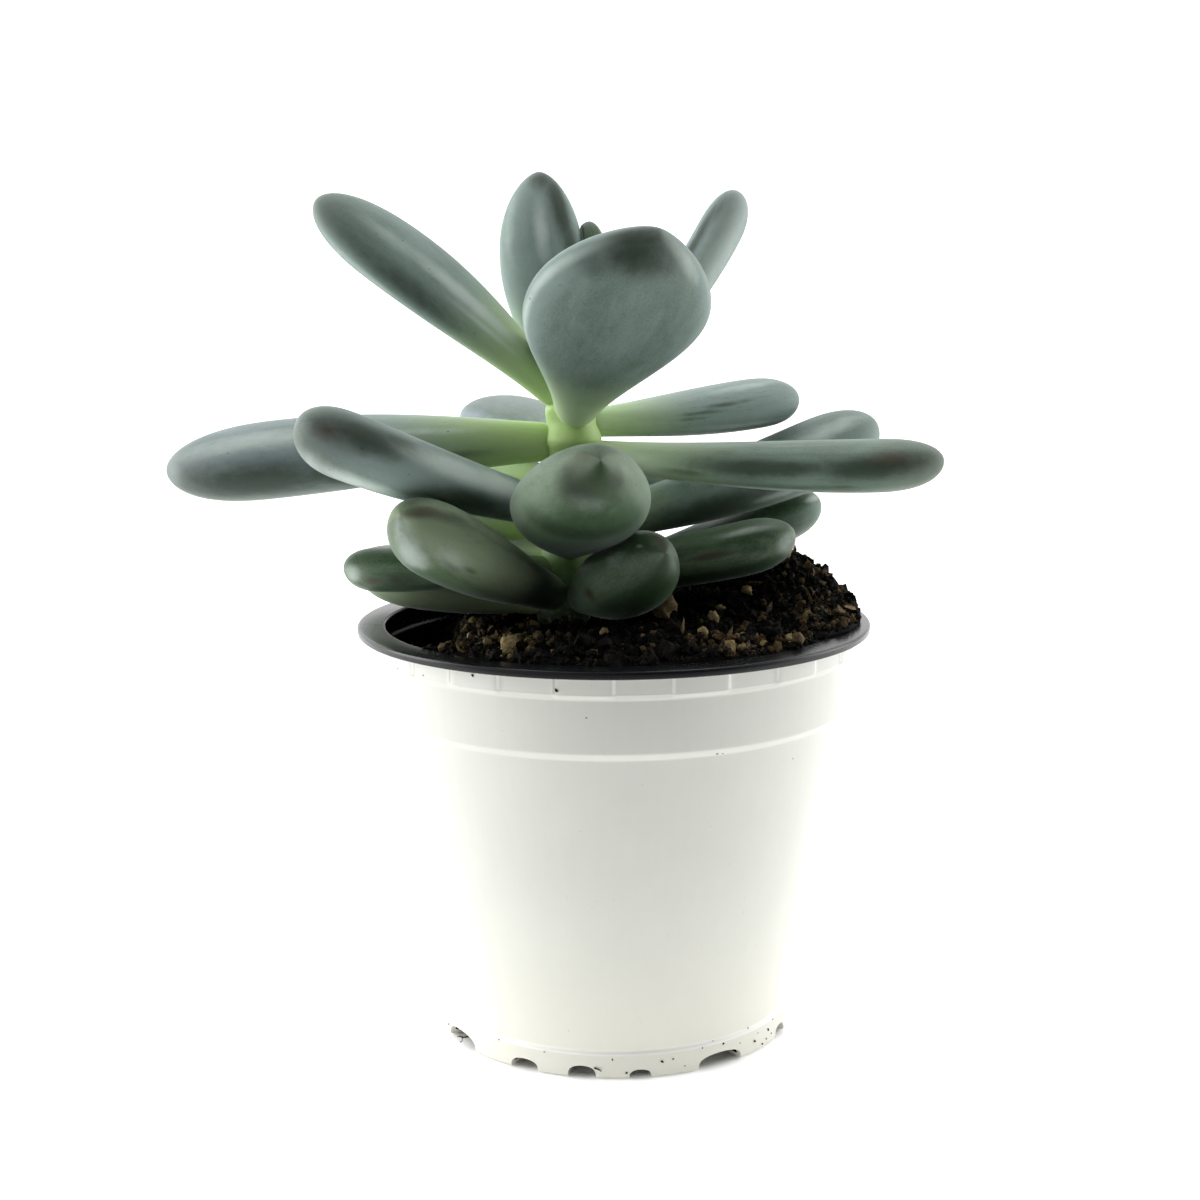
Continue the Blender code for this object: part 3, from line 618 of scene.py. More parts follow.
def leaf_finish():
    """Green skin under pale powder: fresh at the root, browned at the tip, streaked where it was rubbed; with
    painted rim light at its margins, and partly painted shade and highlights on its undersides and in its
    marks.
    """
    skin = Finish("powdered_leaf", IOR=1.42, Specular_IOR_Level=0.42, Subsurface_Weight=0.18,
                  Subsurface_Scale=0.004, Subsurface_Radius=(0.9, 1.2, 0.4), Sheen_Weight=0.20,
                  Sheen_Roughness=0.36, Sheen_Tint=SHEEN)
    run = skin.field("leaf_run", "Vector")
    along, scratched, lavender = skin.field("along"), skin.field("scratched"), skin.field("lavender")

    def laid(scale, *settings):
        return skin.cloud(skin.stretched(run, scale), 1.0, *settings)

    body = skin.times(skin.between(along, 0.84, 0.96, 1.0, 0.0), skin.between(along, 0.0, 0.1))
    clouds = laid((0.13, 0.13, 0.07), 4.0, 0.6, 0.5)
    mottle = laid((0.42, 0.42, 0.26), 4.0, 0.65)
    visible = skin.times(body, skin.plus(scratched, 0.15))
    streaks = skin.plus(skin.swing(laid((0.70, 0.70, 0.045), 3.0, 0.6, 0.4), 0.5, visible), 0.5)
    scratches = laid((2.8, 2.8, 0.16), 2.0, 0.6)
    grain = laid((3.2, 3.2, 2.4), 3.0, 0.65)

    patches = skin.swing(mottle, 0.5, skin.times(skin.plus(scratched, 0.25), 0.7))
    # The powder thickens towards each leaf's margins: painted rim light along its edges.
    cover = skin.total(skin.times(streaks, 1.3), skin.plus(patches, 0.225), skin.swing(clouds, 0.6, 0.4),
                       skin.times(skin.field("powder"), 1.1), skin.swing(grain, 0.5, 0.6),
                       skin.between(skin.field("margin"), 0.72, 1.0, 0.0, 0.36))
    cover = skin.between(cover, 0.86, 1.76)
    scraped = skin.times(skin.times(skin.between(scratches, 0.61, 0.72), scratched), body)
    cover = skin.thinned(cover, scraped, 0.7)
    # Less powder on the undersides, leaving them greener and darker: partly painted shade.
    under = skin.times(skin.between(skin.field("upper"), -1.0, -0.05, 1.0, 0.0), skin.field("green_under"))
    cover = skin.thinned(cover, under, 0.85)

    def ragged_mark(field):
        mark = skin.field(field)
        ragged = skin.plus(mark, skin.swing(mottle, 0.5, 0.45))
        return skin.times(skin.between(ragged, 0.0, 0.95), skin.between(mark, 0.02, 0.35))

    green = skin.mixed(clouds, DEEP_GREEN, LIGHT_GREEN)
    powdered = skin.coats(skin.mixed(clouds, THIN_POWDER, THICK_POWDER), (lavender, LAVENDER_POWDER),
                          (skin.times(lavender, -1.0), OLIVE_POWDER))
    root = skin.times(skin.field("root_green"), skin.between(streaks, 0.25, 0.75, 1.0, 0.72))
    blush = skin.times(skin.field("tip_blush"), skin.between(clouds, 0.25, 0.65, 0.45, 1.0))
    fleck = skin.between(skin.cells(skin.stretched(run, (0.36, 0.36, 0.26)), 1.0), 0.05, 0.10, 0.6, 0.0)
    skin.feed("Base Color", skin.coats(
        skin.mixed(cover, green, powdered),
        (root, skin.mixed(skin.field("root_yellow"), PALE_ROOT, YELLOW_ROOT)),
        # Dark marks: rubbed-bare skin in part, painted shade in part. Pale marks: heaped powder in part,
        # painted highlights in part.
        (skin.times(ragged_mark("marked_dark"), 0.88), BARE_AND_SHADE),
        (skin.times(ragged_mark("marked_pale"), 0.75), POWDER_AND_HIGHLIGHT),
        (blush, BROWNED_TIP),
        (skin.times(ragged_mark("marked_brown"), 0.8), BRUISE),
        (skin.times(fleck, skin.between(mottle, 0.5, 0.6)), FLECK)))
    skin.feed("Roughness", skin.plus(skin.between(cover, 0.0, 1.0, 0.40, 0.60), skin.times(grain, 0.10)))
    normal = skin.bumps(mottle, 0.16, 0.0004, skin.bumps(streaks, 0.20, 0.0003))
    skin.feed("Normal", skin.bumps(grain, 0.20, 0.00012, normal))
    return skin.material


def make_leaves():
    material = leaf_finish()
    bodies = [LeafBody(leaf) for leaf in LEAVES]
    for number, body in enumerate(bodies, 1):
        wider = [other for place, other in enumerate(bodies, 1)
                 if (other.leaf.width, -place) > (body.leaf.width, -number)]
        make_leaf(number, body, wider, material)


# The stem.

# The cups lie under the broad leaf: where they are, how far they reach round, up and down, and outwards.
STEM_RINGS = 130
STEM_SIDES = 64
Cup = namedtuple("Cup", "azimuth height half_angle half_height reach")
CUPS = (Cup(-75, 121.6, 92, 2.2, 2.0), Cup(-75, 113.0, 80, 5.0, 0.3))
CUSHION = 0.6
CUSHION_HALF_ANGLE = 34
CUSHION_HALF_HEIGHT = 3.0
CUSHION_BELOW_ROOT = 1.5
TOP_ROUNDING = 3.0
LEAST_RADIUS = 0.02


def stem_finish():
    stem = Finish("stem_skin", Subsurface_Weight=0.15, Subsurface_Scale=0.003, Sheen_Weight=0.15,
                  Sheen_Roughness=0.5)
    place = stem.place()
    height = stem.split(place)["Z"]
    clouds = stem.cloud(place, 220.0, 4.0)
    fresh = stem.mixed(clouds, paint(160, 198, 108), paint(192, 220, 146))
    old = stem.mixed(clouds, paint(80, 120, 62), paint(124, 160, 96))
    colour = stem.mixed(stem.between(height, 0.090, 0.112), old, fresh)
    # Darker in broken patches just above the soil.
    dark_low_patches = stem.between(height, 0.084, 0.095, 0.95, 0.0)
    dark_low_patches = stem.times(dark_low_patches, stem.between(stem.cloud(place, 700.0, 3.0), 0.25, 0.5))
    stem.feed("Base Color", stem.mixed(dark_low_patches, colour, paint(30, 28, 20)))
    stem.feed("Roughness", stem.between(clouds, 0.2, 0.8, 0.42, 0.62))
    stem.feed("Normal", stem.bumps(stem.cloud(place, 900.0, 3.0), 0.3, 0.0002))
    return stem.material


def make_stem():
    """A stem that swells into a cushion under each leaf's root, and into a cup under the broad leaf's."""
    heights = np.linspace(STEM_FOOT[2], STEM_TOP[2], STEM_RINGS)
    turns = np.arange(STEM_SIDES) * 360 / STEM_SIDES
    rings = []
    for height in heights:
        share = (height - STEM_FOOT[2]) / (STEM_TOP[2] - STEM_FOOT[2])
        radius = np.full(STEM_SIDES, STEM_FOOT_RADIUS + (STEM_TOP_RADIUS - STEM_FOOT_RADIUS) * share)
        for leaf in LEAVES:
            away = angle_apart(turns, leaf.azimuth) / CUSHION_HALF_ANGLE
            drop = (height - leaf.root + CUSHION_BELOW_ROOT) / CUSHION_HALF_HEIGHT
            radius += CUSHION * np.exp(-away ** 2 - drop ** 2)
        for cup in CUPS:
            away = angle_apart(turns, cup.azimuth) / cup.half_angle
            radius += cup.reach * np.exp(-away ** 4 - ((height - cup.height) / cup.half_height) ** 2)
        top = (STEM_TOP[2] - height) / TOP_ROUNDING
        radius *= math.sqrt(1 - max(0.0, 1 - top) ** 2) if top < 1 else 1.0
        centre = stem_axis(height)
        rings.append([centre + heading(turn) * max(reach, LEAST_RADIUS)
                      for turn, reach in zip(turns, radius)])
    points, faces = closed_tube(np.array(rings), stem_axis(STEM_FOOT[2]), stem_axis(STEM_TOP[2]))
    stem = new_object("stem_with_nodes", points, faces, [stem_finish()])
    hand_over(stem, "stem", "stem")


# The pot: one formed sheet, white outside and black inside and over its flange.

# Radii are the sheet's outer ones; heights are from the floor.
SHEET = 0.8
RIM_RADIUS = 52.5
RIM_HEIGHT = 84.5
LIP_DROP = 1.5
FLANGE_WIDTH = 5.7
BAND_RADIUS = 49.5
BAND_BOTTOM = 79.3
BAND_PANELS = 28
PANEL_RELIEF = 0.3
SEAM_ANGLE = 1.1
COLLAR_TOP_RADIUS = 48.7
COLLAR_BOTTOM_RADIUS = 48.2
STEP_HEIGHT = 67.9
STEP_DROP = 1.4
BODY_TOP_RADIUS = 46.8
BODY_BOTTOM_RADIUS = 36.2
SKIRT_HEIGHT = 4.8
SKIRT_TOP_RADIUS = 36.6
FOOT_RADIUS = 36.9
FOOT_WIDTH = 3.5
FLOOR_RISE = 3.0
# Azimuth, width in degrees and height of each drain slot in the foot.
DRAIN_SLOTS = (
    (-149, 18, 2.8), (-119.5, 10, 2.2), (-100.5, 9, 2.4), (-82.5, 7, 1.7), (-55.5, 17, 2.7), (-23.5, 8, 2.2),
    (12, 9, 2.3), (42, 8, 2.1), (70, 11, 2.4), (97, 8, 2.0), (125, 10, 2.3), (156, 9, 2.2),
)
ARCH_FULLNESS = 0.55
ARCH_STEPS = 12
CUTTER_DROP = 1.0
CUTTER_OVERREACH = 1.5
CUTTER_TAPER = 0.9
SHARP_ANGLE = 50
WHITE, BLACK = 0, 1
# A fillet's steps, and the most that it may take of the edge beside it.
FILLET_STEPS = (0.0, 0.25, 0.5, 0.75, 1.0)
FILLET_SHARE = 0.42
# A seam's steps from one panel to the next, and the even steps across a panel.
SEAM_STEPS = (0.0, 0.12, 0.5, 0.88, 1.0)
PANEL_STEPS = 12
# Azimuth, height and size of each crumb stuck to the white sheet.
SPECKS = (
    (-75.8, 2.9, 0.9), (-72.2, 3.3, 0.6), (-54.4, 4.2, 0.7), (-43.0, 5.4, 0.6), (-40.6, 2.3, 0.9),
    (-36.6, 0.9, 0.8), (-32.5, 3.1, 0.9), (-28.9, 4.4, 0.5), (-91.2, 3.9, 0.7), (-112.5, 4.4, 0.6),
    (-86.8, 1.2, 0.7), (-159.7, 1.6, 0.7), (-62.2, 4.4, 0.5), (-68.4, 1.5, 0.4), (-58.0, 5.2, 0.4),
    (-121.9, 81.8, 0.9), (-102.3, 80.3, 0.9), (-147.7, 79.8, 0.6), (-137.1, 80.1, 0.5), (-66.0, 66.9, 0.6),
    (-64.5, 66.8, 0.4), (-96.0, 75.1, 0.4), (-41.8, 62.6, 0.4), (-129.5, 4.6, 0.5), (-34.0, 1.4, 0.5),
    (-38.5, 3.6, 0.4), (-47.5, 3.2, 0.4), (-30.5, 1.8, 0.5),
)
SPECK_CORNERS = 12
SPECK_STRETCH = (1.0, 0.7, 0.55)
SPECK_LIFT = 0.05
# Azimuth, radius and height of the points of each bit of dry root.
ROOT_BITS = (
    ((-143.0, 35.6, 2.7), (-145.0, 36.8, 2.3), (-146.5, 37.4, 1.9), (-146.2, 37.6, 1.3), (-147.2, 37.7, 0.8)),
    ((-146.4, 37.3, 2.0), (-148.0, 37.5, 1.9), (-149.2, 37.6, 1.6)),
    ((-97.2, 35.9, 1.9), (-96.4, 36.9, 2.1), (-95.2, 37.2, 2.0), (-94.4, 37.3, 1.7)),
)
ROOT_BIT_RADIUS = 0.22
ROOT_BIT_TAPER = 0.6
ROOT_BIT_KNOBS = 0.2
ROOT_BIT_STEPS = 24
ROOT_BIT_SIDES = 8


def pot_section():
    """Corners of the sheet's section, underside first: radius, height, fillet, panelled, face after it."""
    step_bottom = STEP_HEIGHT - STEP_DROP
    inner_edge = RIM_RADIUS - FLANGE_WIDTH
    flange_underside = RIM_HEIGHT - SHEET
    lip_bottom = RIM_HEIGHT - LIP_DROP
    trough_outer = SKIRT_TOP_RADIUS - SHEET
    trough_inner = FOOT_RADIUS - FOOT_WIDTH + SHEET
    inner_band = BAND_RADIUS - PANEL_RELIEF - SHEET
    return [
        (FOOT_RADIUS - FOOT_WIDTH - 0.2, FLOOR_RISE, 0.3, False, WHITE),
        (FOOT_RADIUS - FOOT_WIDTH, 0.0, 0.4, False, WHITE),
        (FOOT_RADIUS, 0.0, 0.7, False, WHITE),
        (SKIRT_TOP_RADIUS, SKIRT_HEIGHT, 0.35, False, WHITE),
        (BODY_BOTTOM_RADIUS, SKIRT_HEIGHT + 0.5, 0.3, False, WHITE),
        (BODY_TOP_RADIUS, step_bottom, 0.35, False, WHITE),
        (COLLAR_BOTTOM_RADIUS, STEP_HEIGHT, 0.4, False, WHITE),
        (COLLAR_TOP_RADIUS, BAND_BOTTOM - 0.9, 0.4, False, WHITE),
        (BAND_RADIUS, BAND_BOTTOM, 0.25, True, WHITE),
        (BAND_RADIUS, flange_underside, 0.25, True, WHITE),
        (RIM_RADIUS - SHEET - 1.4, flange_underside, 0.0, False, BLACK),
        (RIM_RADIUS - SHEET, flange_underside, 0.15, False, BLACK),
        (RIM_RADIUS - SHEET + 0.1, lip_bottom, 0.12, False, BLACK),
        (RIM_RADIUS - 0.1, lip_bottom, 0.2, False, BLACK),
        (RIM_RADIUS, RIM_HEIGHT, 0.75, False, BLACK),
        (inner_edge, RIM_HEIGHT, 0.6, False, BLACK),
        (inner_edge, flange_underside - 0.4, 0.3, False, BLACK),
        (inner_band, flange_underside - 0.9, 0.4, False, BLACK),
        (inner_band, BAND_BOTTOM + 0.4, 0.4, False, BLACK),
        (COLLAR_TOP_RADIUS - SHEET, BAND_BOTTOM - 0.6, 0.4, False, BLACK),
        (COLLAR_BOTTOM_RADIUS - SHEET, STEP_HEIGHT + 0.3, 0.4, False, BLACK),
        (BODY_TOP_RADIUS - SHEET, step_bottom + 0.3, 0.4, False, BLACK),
        (BODY_BOTTOM_RADIUS - SHEET, SKIRT_HEIGHT + 0.7, 0.3, False, BLACK),
        (trough_outer, SHEET, 0.3, False, BLACK),
        (trough_inner, SHEET, 0.3, False, BLACK),
        (trough_inner - 0.3, FLOOR_RISE + SHEET, 0.3, False, BLACK),
    ]


def filleted(corners):
    """The section with each corner rounded, as (radius, height, panelled, face after it)."""
    line = []
    for number, (radius, height, fillet, panelled, face) in enumerate(corners):
        here = np.array([radius, height])
        if number in (0, len(corners) - 1) or fillet == 0:
            line.append((radius, height, panelled, face))
            continue
        before = np.array(corners[number - 1][:2]) - here
        after = np.array(corners[number + 1][:2]) - here
        reach = min(fillet, FILLET_SHARE * np.linalg.norm(before), FILLET_SHARE * np.linalg.norm(after))
        first = here + before / np.linalg.norm(before) * reach
        last = here + after / np.linalg.norm(after) * reach
        for share in FILLET_STEPS:
            point = first * (1 - share) ** 2 + here * 2 * share * (1 - share) + last * share ** 2
            line.append((point[0], point[1], panelled, face if share >= 0.5 else corners[number - 1][4]))
    return line


def pot_angles():
    """Azimuths with the panel's relief at each: close together at the seams, and evenly spaced between."""
    pitch = 360 / BAND_PANELS
    angles = []
    for panel in range(BAND_PANELS):
        start = -90 + panel * pitch
        proud = panel % 2
        for share in SEAM_STEPS:
            level = proud * share + (1 - proud) * (1 - share)
            angles.append((start - SEAM_ANGLE / 2 + SEAM_ANGLE * share, level))
        inner = np.linspace(start + SEAM_ANGLE / 2, start + pitch - SEAM_ANGLE / 2, PANEL_STEPS)[1:-1]
        angles += [(angle, proud) for angle in inner]
    return angles


def white_finish():
    """Satin white sheet, with the moulding's seams round its band painted as lit and shaded edges, a painted
    highlight on the skirt's edge, painted floor light low down and a little soil dust on it.
    """
    white = Finish("white_sheet", IOR=1.49, Specular_IOR_Level=0.5)
    place = white.place()
    axes = white.split(white.from_axis(place))
    height = axes["Z"]

    def strip(bottom, full, fading, top):
        """1 from full to fading, in millimetres of height, and 0 below bottom and above top."""
        return white.times(white.between(height, bottom * MM, full * MM),
                           white.between(height, fading * MM, top * MM, 1.0, 0.0))

    # The seams' edges are painted lit and shaded: every even seam as a highlight, every odd one as a
    # highlight at the right and as shade elsewhere.
    turn = white.times(white.maths("ARCTAN2", axes["Y"], axes["X"]), BAND_PANELS / 4 / math.pi)
    pair = white.maths("FRACT", white.plus(turn, BAND_PANELS / 8 + 20))
    off_middle = white.maths("ABSOLUTE", white.less(pair, 0.5))
    even_seam = white.between(off_middle, 0.480, 0.493)
    odd_seam = white.between(off_middle, 0.007, 0.020, 1.0, 0.0)
    at_right = white.between(axes["X"], 0.004, 0.012)
    seam_highlight = white.maths("MAXIMUM", even_seam, white.times(odd_seam, at_right))
    seam_shade = white.times(odd_seam, white.less(1.0, at_right))
    on_band = strip(BAND_BOTTOM + 0.1, BAND_BOTTOM + 0.5, RIM_HEIGHT - 1.1, RIM_HEIGHT - 0.8)
    # A painted highlight along the ledge at the top of the skirt.
    skirt_edge_highlight = strip(SKIRT_HEIGHT - 0.4, SKIRT_HEIGHT - 0.1, SKIRT_HEIGHT + 0.5, SKIRT_HEIGHT + 0.9)

    clouds = white.cloud(place, 55.0, 3.0)
    drawn = white.cloud(white.stretched(place, (500, 500, 16)), 1.0, 2.0)
    grain = white.cloud(place, 2600.0, 2.0)
    # Lighter and warmer towards the bottom: painted light from the floor.
    low = white.between(height, 0.0, 0.05, 0.5, 0.0)
    dirty = white.between(height, 0.0, 0.012, 1.0, 0.12)
    dust = white.between(white.cells(place, 420.0), 0.05, 0.11, 1.0, 0.0)
    dust = white.times(dust, white.between(white.cloud(place, 90.0, 2.0), 0.52, 0.62))
    smears = white.cloud(white.stretched(place, (700, 700, 220)), 1.0, 4.0, 0.7)
    white.feed("Base Color", white.coats(
        white.mixed(clouds, paint(212, 214, 206), paint(224, 225, 217)),
        (white.times(drawn, 0.25), paint(204, 206, 197)),
        # Painted floor light towards the bottom.
        (low, paint(238, 236, 222)),
        (on_band, white.mixed(clouds, paint(219, 221, 213), paint(230, 231, 224))),
        (white.times(on_band, white.times(seam_highlight, 0.8)), paint(253, 254, 250)),
        (white.times(on_band, white.times(seam_shade, 0.5)), paint(130, 132, 122)),
        (white.times(skirt_edge_highlight, 0.8), paint(254, 254, 250)),
        (white.times(dust, dirty), paint(84, 74, 62)),
        (white.between(smears, 0.62, 0.78, 0.0, 0.22), paint(198, 192, 176))))
    white.feed("Roughness", white.between(clouds, 0.2, 0.8, 0.30, 0.42))
    white.feed("Normal", white.bumps(grain, 0.10, 0.00004, white.bumps(drawn, 0.12, 0.0001)))
    return white.material


def black_finish():
    """Glossy black sheet with a thin film of dried soil here and there."""
    black = Finish("black_sheet", IOR=1.49, Specular_IOR_Level=0.35)
    place = black.place()
    clouds = black.cloud(place, 60.0, 4.0)
    dust = black.cloud(place, 1200.0, 4.0, 0.65)
    film = black.times(black.between(clouds, 0.48, 0.75), black.between(dust, 0.50, 0.72, 0.0, 0.4))
    black.feed("Base Color", black.mixed(film, paint(17, 18, 22), paint(66, 62, 54)))
    black.feed("Roughness", black.between(film, 0.0, 0.4, 0.26, 0.55))
    black.feed("Normal", black.bumps(clouds, 0.06, 0.0002))
    return black.material


def slot_cutters():
    """Arches that run outwards through the foot, a little below it and past both its sides, as one object."""
    bm = bmesh.new()
    for azimuth, span, height in DRAIN_SLOTS:
        half = FOOT_RADIUS * math.radians(span) / 2
        outwards, across = heading(azimuth), heading(azimuth + 90)
        arch = [(-half, -CUTTER_DROP)]
        for step in range(ARCH_STEPS + 1):
            turn = math.pi * step / ARCH_STEPS
            arch.append((-half * math.cos(turn), height * math.sin(turn) ** ARCH_FULLNESS))
        arch.append((half, -CUTTER_DROP))
        loops = []
        for reach, spread in ((FOOT_RADIUS - FOOT_WIDTH - CUTTER_OVERREACH, CUTTER_TAPER),
                              (FOOT_RADIUS + CUTTER_OVERREACH, 1.0)):
            points = [outwards * reach + across * side * spread + UP * up for side, up in arch]
            loops.append([bm.verts.new(point) for point in in_frame(points)])
        for index in range(len(arch)):
            after = (index + 1) % len(arch)
            bm.faces.new((loops[0][index], loops[0][after], loops[1][after], loops[1][index]))
        for loop in loops:
            bm.faces.new(loop)
    bmesh.ops.recalc_face_normals(bm, faces=bm.faces)
    return add_object("slot_cutters", mesh_of(bm, "slot_cutters"))


def make_pot():
    section = filleted(pot_section())
    angles = pot_angles()
    rings = []
    for radius, height, panelled, _ in section:
        relief = PANEL_RELIEF if panelled else 0
        rings.append([heading(azimuth) * (radius - relief * (1 - level)) + UP * height
                      for azimuth, level in angles])
    points, faces = closed_tube(np.array(rings), (0, 0, section[0][1]), (0, 0, section[-1][1]))
    sides = len(angles)
    colours = [face for *_, face in section[:-1] for _ in range(sides)] + [WHITE] * sides + [BLACK] * sides
    pot = new_object("pot_sheet", points, faces, [white_finish(), black_finish()], None, colours)
    cutters = slot_cutters()
    cut = pot.modifiers.new("drain slots", "BOOLEAN")
    cut.operation, cut.solver, cut.object = "DIFFERENCE", "EXACT", cutters
    bake_modifiers(pot)
    bpy.data.objects.remove(cutters)
    pot.data.shade_smooth()
    pot.data.set_sharp_from_angle(angle=math.radians(SHARP_ANGLE))
    hand_over(pot, "pot_white", "pot")
    make_specks()


def pot_radius(height):
    """The white sheet's outer radius."""
    heights = (0, SKIRT_HEIGHT, SKIRT_HEIGHT + 0.5, STEP_HEIGHT - STEP_DROP, STEP_HEIGHT, BAND_BOTTOM - 0.9,
               BAND_BOTTOM, RIM_HEIGHT - SHEET)
    radii = (FOOT_RADIUS, SKIRT_TOP_RADIUS, BODY_BOTTOM_RADIUS, BODY_TOP_RADIUS, COLLAR_BOTTOM_RADIUS,
             COLLAR_TOP_RADIUS, BAND_RADIUS, BAND_RADIUS)
    return float(np.interp(height, heights, radii))


def make_specks():
    """Crumbs of soil that have stuck to the pot, and the bits of dry root in its slots."""
    draw = random.Random(31)
    points, faces, first = [], [], 0
    for azimuth, height, size in SPECKS:
        shape = crumb_shape(draw, SPECK_CORNERS, SPECK_STRETCH)
        spin = draw.uniform(0, math.pi)
        outwards, across = heading(azimuth), heading(azimuth + 90)
        centre = outwards * (pot_radius(height) + size * SPECK_LIFT) + UP * height
        shape.verts.index_update()
        for vert in shape.verts:
            side = vert.co.x * math.cos(spin) - vert.co.y * math.sin(spin)
            up = vert.co.x * math.sin(spin) + vert.co.y * math.cos(spin)
            points.append(centre + size * (across * side + outwards * vert.co.z + UP * up))
        faces += [[first + vert.index for vert in face.verts] for face in shape.faces]
        first = len(points)
        shape.free()
    for root in ROOT_BITS:
        line = np.array([heading(azimuth) * reach + UP * height for azimuth, reach, height in root])
        sideways = heading(root[0][0] + 90)
        rings = []
        for step in range(ROOT_BIT_STEPS + 1):
            place = step / ROOT_BIT_STEPS * (len(line) - 1)
            centre = np.array([np.interp(place, range(len(line)), line[:, axis]) for axis in range(3)])
            radius = ROOT_BIT_RADIUS * (1 - ROOT_BIT_TAPER * step / ROOT_BIT_STEPS)
            radius *= 1 + ROOT_BIT_KNOBS * math.sin(step * 1.7)
            turns = [2 * math.pi * side / ROOT_BIT_SIDES for side in range(ROOT_BIT_SIDES)]
            rings.append([centre + radius * (math.cos(turn) * sideways + math.sin(turn) * UP)
                          for turn in turns])
        tube, tube_faces = closed_tube(np.array(rings), line[0], line[-1])
        points += list(tube)
        faces += [[first + index for index in face] for face in tube_faces]
        first = len(points)
    specks = new_object("stuck_specks", points, faces,
                        [crumb_finish("dark_speck", (48, 34, 24), (96, 70, 50), (120, 94, 68), 0.9)])
    specks.data.shade_flat()
    hand_over(specks, "soil")


def bake_modifiers(obj):
    """Turns an object's modified shape into its own plain mesh."""
    graph = bpy.context.evaluated_depsgraph_get()
    plain = bpy.data.meshes.new_from_object(obj.evaluated_get(graph))
    obj.modifiers.clear()
    obj.data = plain


# The soil.

SOIL_LEVEL = 84.2
SOIL_WALL_GAP = 0.6
SOIL_DISH_DEPTH = 1.2
SOIL_DISH_SPREAD = 8.0
HEAP_HEIGHT = 11.0
HEAP_SPREAD = 13.6
HEAP_CENTRE = (35.2, 16.5)
SPILL_REACH = 4.4
SPILL_AZIMUTH = 14
SPILL_HALF_ANGLE = 42
SPILL_EDGE = 0.7
SPILL_SLOPE_WIDTH = 8.0
SPILL_RAGGEDNESS = 0.22
SPILL_ABOVE_FLANGE = 0.05
HOLLOW_DEPTH = 10.0
HOLLOW_AZIMUTH = 174
HOLLOW_HALF_ANGLE = 52
HOLLOW_START = 30.0
HOLLOW_SLOPE_WIDTH = 6.0
CRUMB_COUNT = 90
CRUMB_REACH = 49
CRUMB_RADII = (3.0, 5.5)
CRUMB_HEIGHTS = (0.4, 1.5)
CRUMBLESS_RADIUS = 16.0
ROUGHNESS = 0.75
# Place, size and paleness of each larger grain on the soil.
GRAINS = (
    (10.3, -3.6, 5.0, 0.7), (35.4, 9.4, 3.6, 0.8), (27.4, -0.2, 2.2, 0.6), (19.9, -12.7, 2.6, 0.7),
    (21.7, -35.3, 2.8, 0.8), (17.3, -28.7, 2.0, 0.8), (30.3, -21.8, 2.4, 0.9), (28.7, -30.1, 1.8, 0.9),
    (33.9, -26.0, 2.0, 0.7), (35.2, -30.0, 2.8, 0.3), (-1.9, -22.0, 1.7, 0.6), (5.6, -43.5, 1.8, 0.5),
    (21.7, -3.8, 1.6, 0.6), (-15.8, -8.1, 2.4, 0.4), (-20.1, -35.2, 3.0, 0.7), (-30.8, -18.7, 2.6, 0.7),
    (-36.5, -21.0, 3.2, 0.8), (24.5, -31.5, 1.8, 0.7), (38.5, -14.5, 2.0, 0.4), (13.0, -38.5, 1.5, 0.7),
)
GRAIN_CORNERS = 36
GRAIN_STRETCH = (1.15, 0.9, 0.85)
GRAIN_ROUGHNESS = 0.55
GRAIN_LIFT = 0.35
CRUMB_REACHES = (0.40, 0.56)
CLOD_REACHES = (0.55, 1.25)
SOIL_TURNS = 240
SOIL_REACHES = 74
SOIL_CROWDING = 0.62
# Where crumbs lie: where they begin and over how much they thicken, from the stem, from the axis and to the
# right, and the middle and the spread of two patches at the front.
FROM_STEM = (4, 5)
FROM_AXIS = (24, 16)
TO_THE_RIGHT = (14, 14)
FRONT_RIGHT = ((26, -29), (12, 9))
FRONT_LEFT = ((-22, -20), (10, 16))
STRAY_CRUMBS = 0.03
# What is scattered over the soil: its shape and the bed it lies on, how many there are to a square metre,
# their smallest and largest size in metres, how few of them are large, how proud they lie, and their paints.
Scattered = namedtuple("Scattered", "name shape bed number smallest largest evenness lift seed "
                                    "dark light fleck roughness")
SCATTERED = (
    Scattered("peat_crumb", "peat_crumb", "crumb_bed", 900000.0, 0.0004, 0.0021, 2.0, 0.12, 3,
              (2, 2, 2), (14, 12, 9), (44, 38, 26), 0.95),
    Scattered("soil_clod", "soil_clod", "crumb_bed", 38000.0, 0.0018, 0.0050, 2.2, 0.10, 5,
              (3, 2, 2), (16, 13, 10), (40, 34, 24), 0.95),
    Scattered("brown_crumb", "peat_crumb", "heap_bed", 420000.0, 0.0005, 0.0026, 1.9, 0.25, 8,
              (16, 13, 9), (84, 70, 46), (122, 106, 72), 0.95),
    Scattered("mossy_crumb", "peat_crumb", "mossy_bed", 420000.0, 0.0006, 0.0028, 1.6, 0.3, 9,
              (30, 28, 16), (112, 102, 64), (150, 140, 96), 0.95),
    Scattered("bark_chip", "bark_chip", "lit_bed", 90000.0, 0.0008, 0.0032, 1.5, 0.3, 12,
              (36, 26, 18), (132, 106, 74), (178, 154, 116), 0.8),
    Scattered("pumice_grain", "pumice_grain", "lit_bed", 20000.0, 0.0006, 0.0022, 1.4, 0.3, 15,
              (96, 84, 58), (182, 168, 128), (96, 80, 54), 0.8),
)


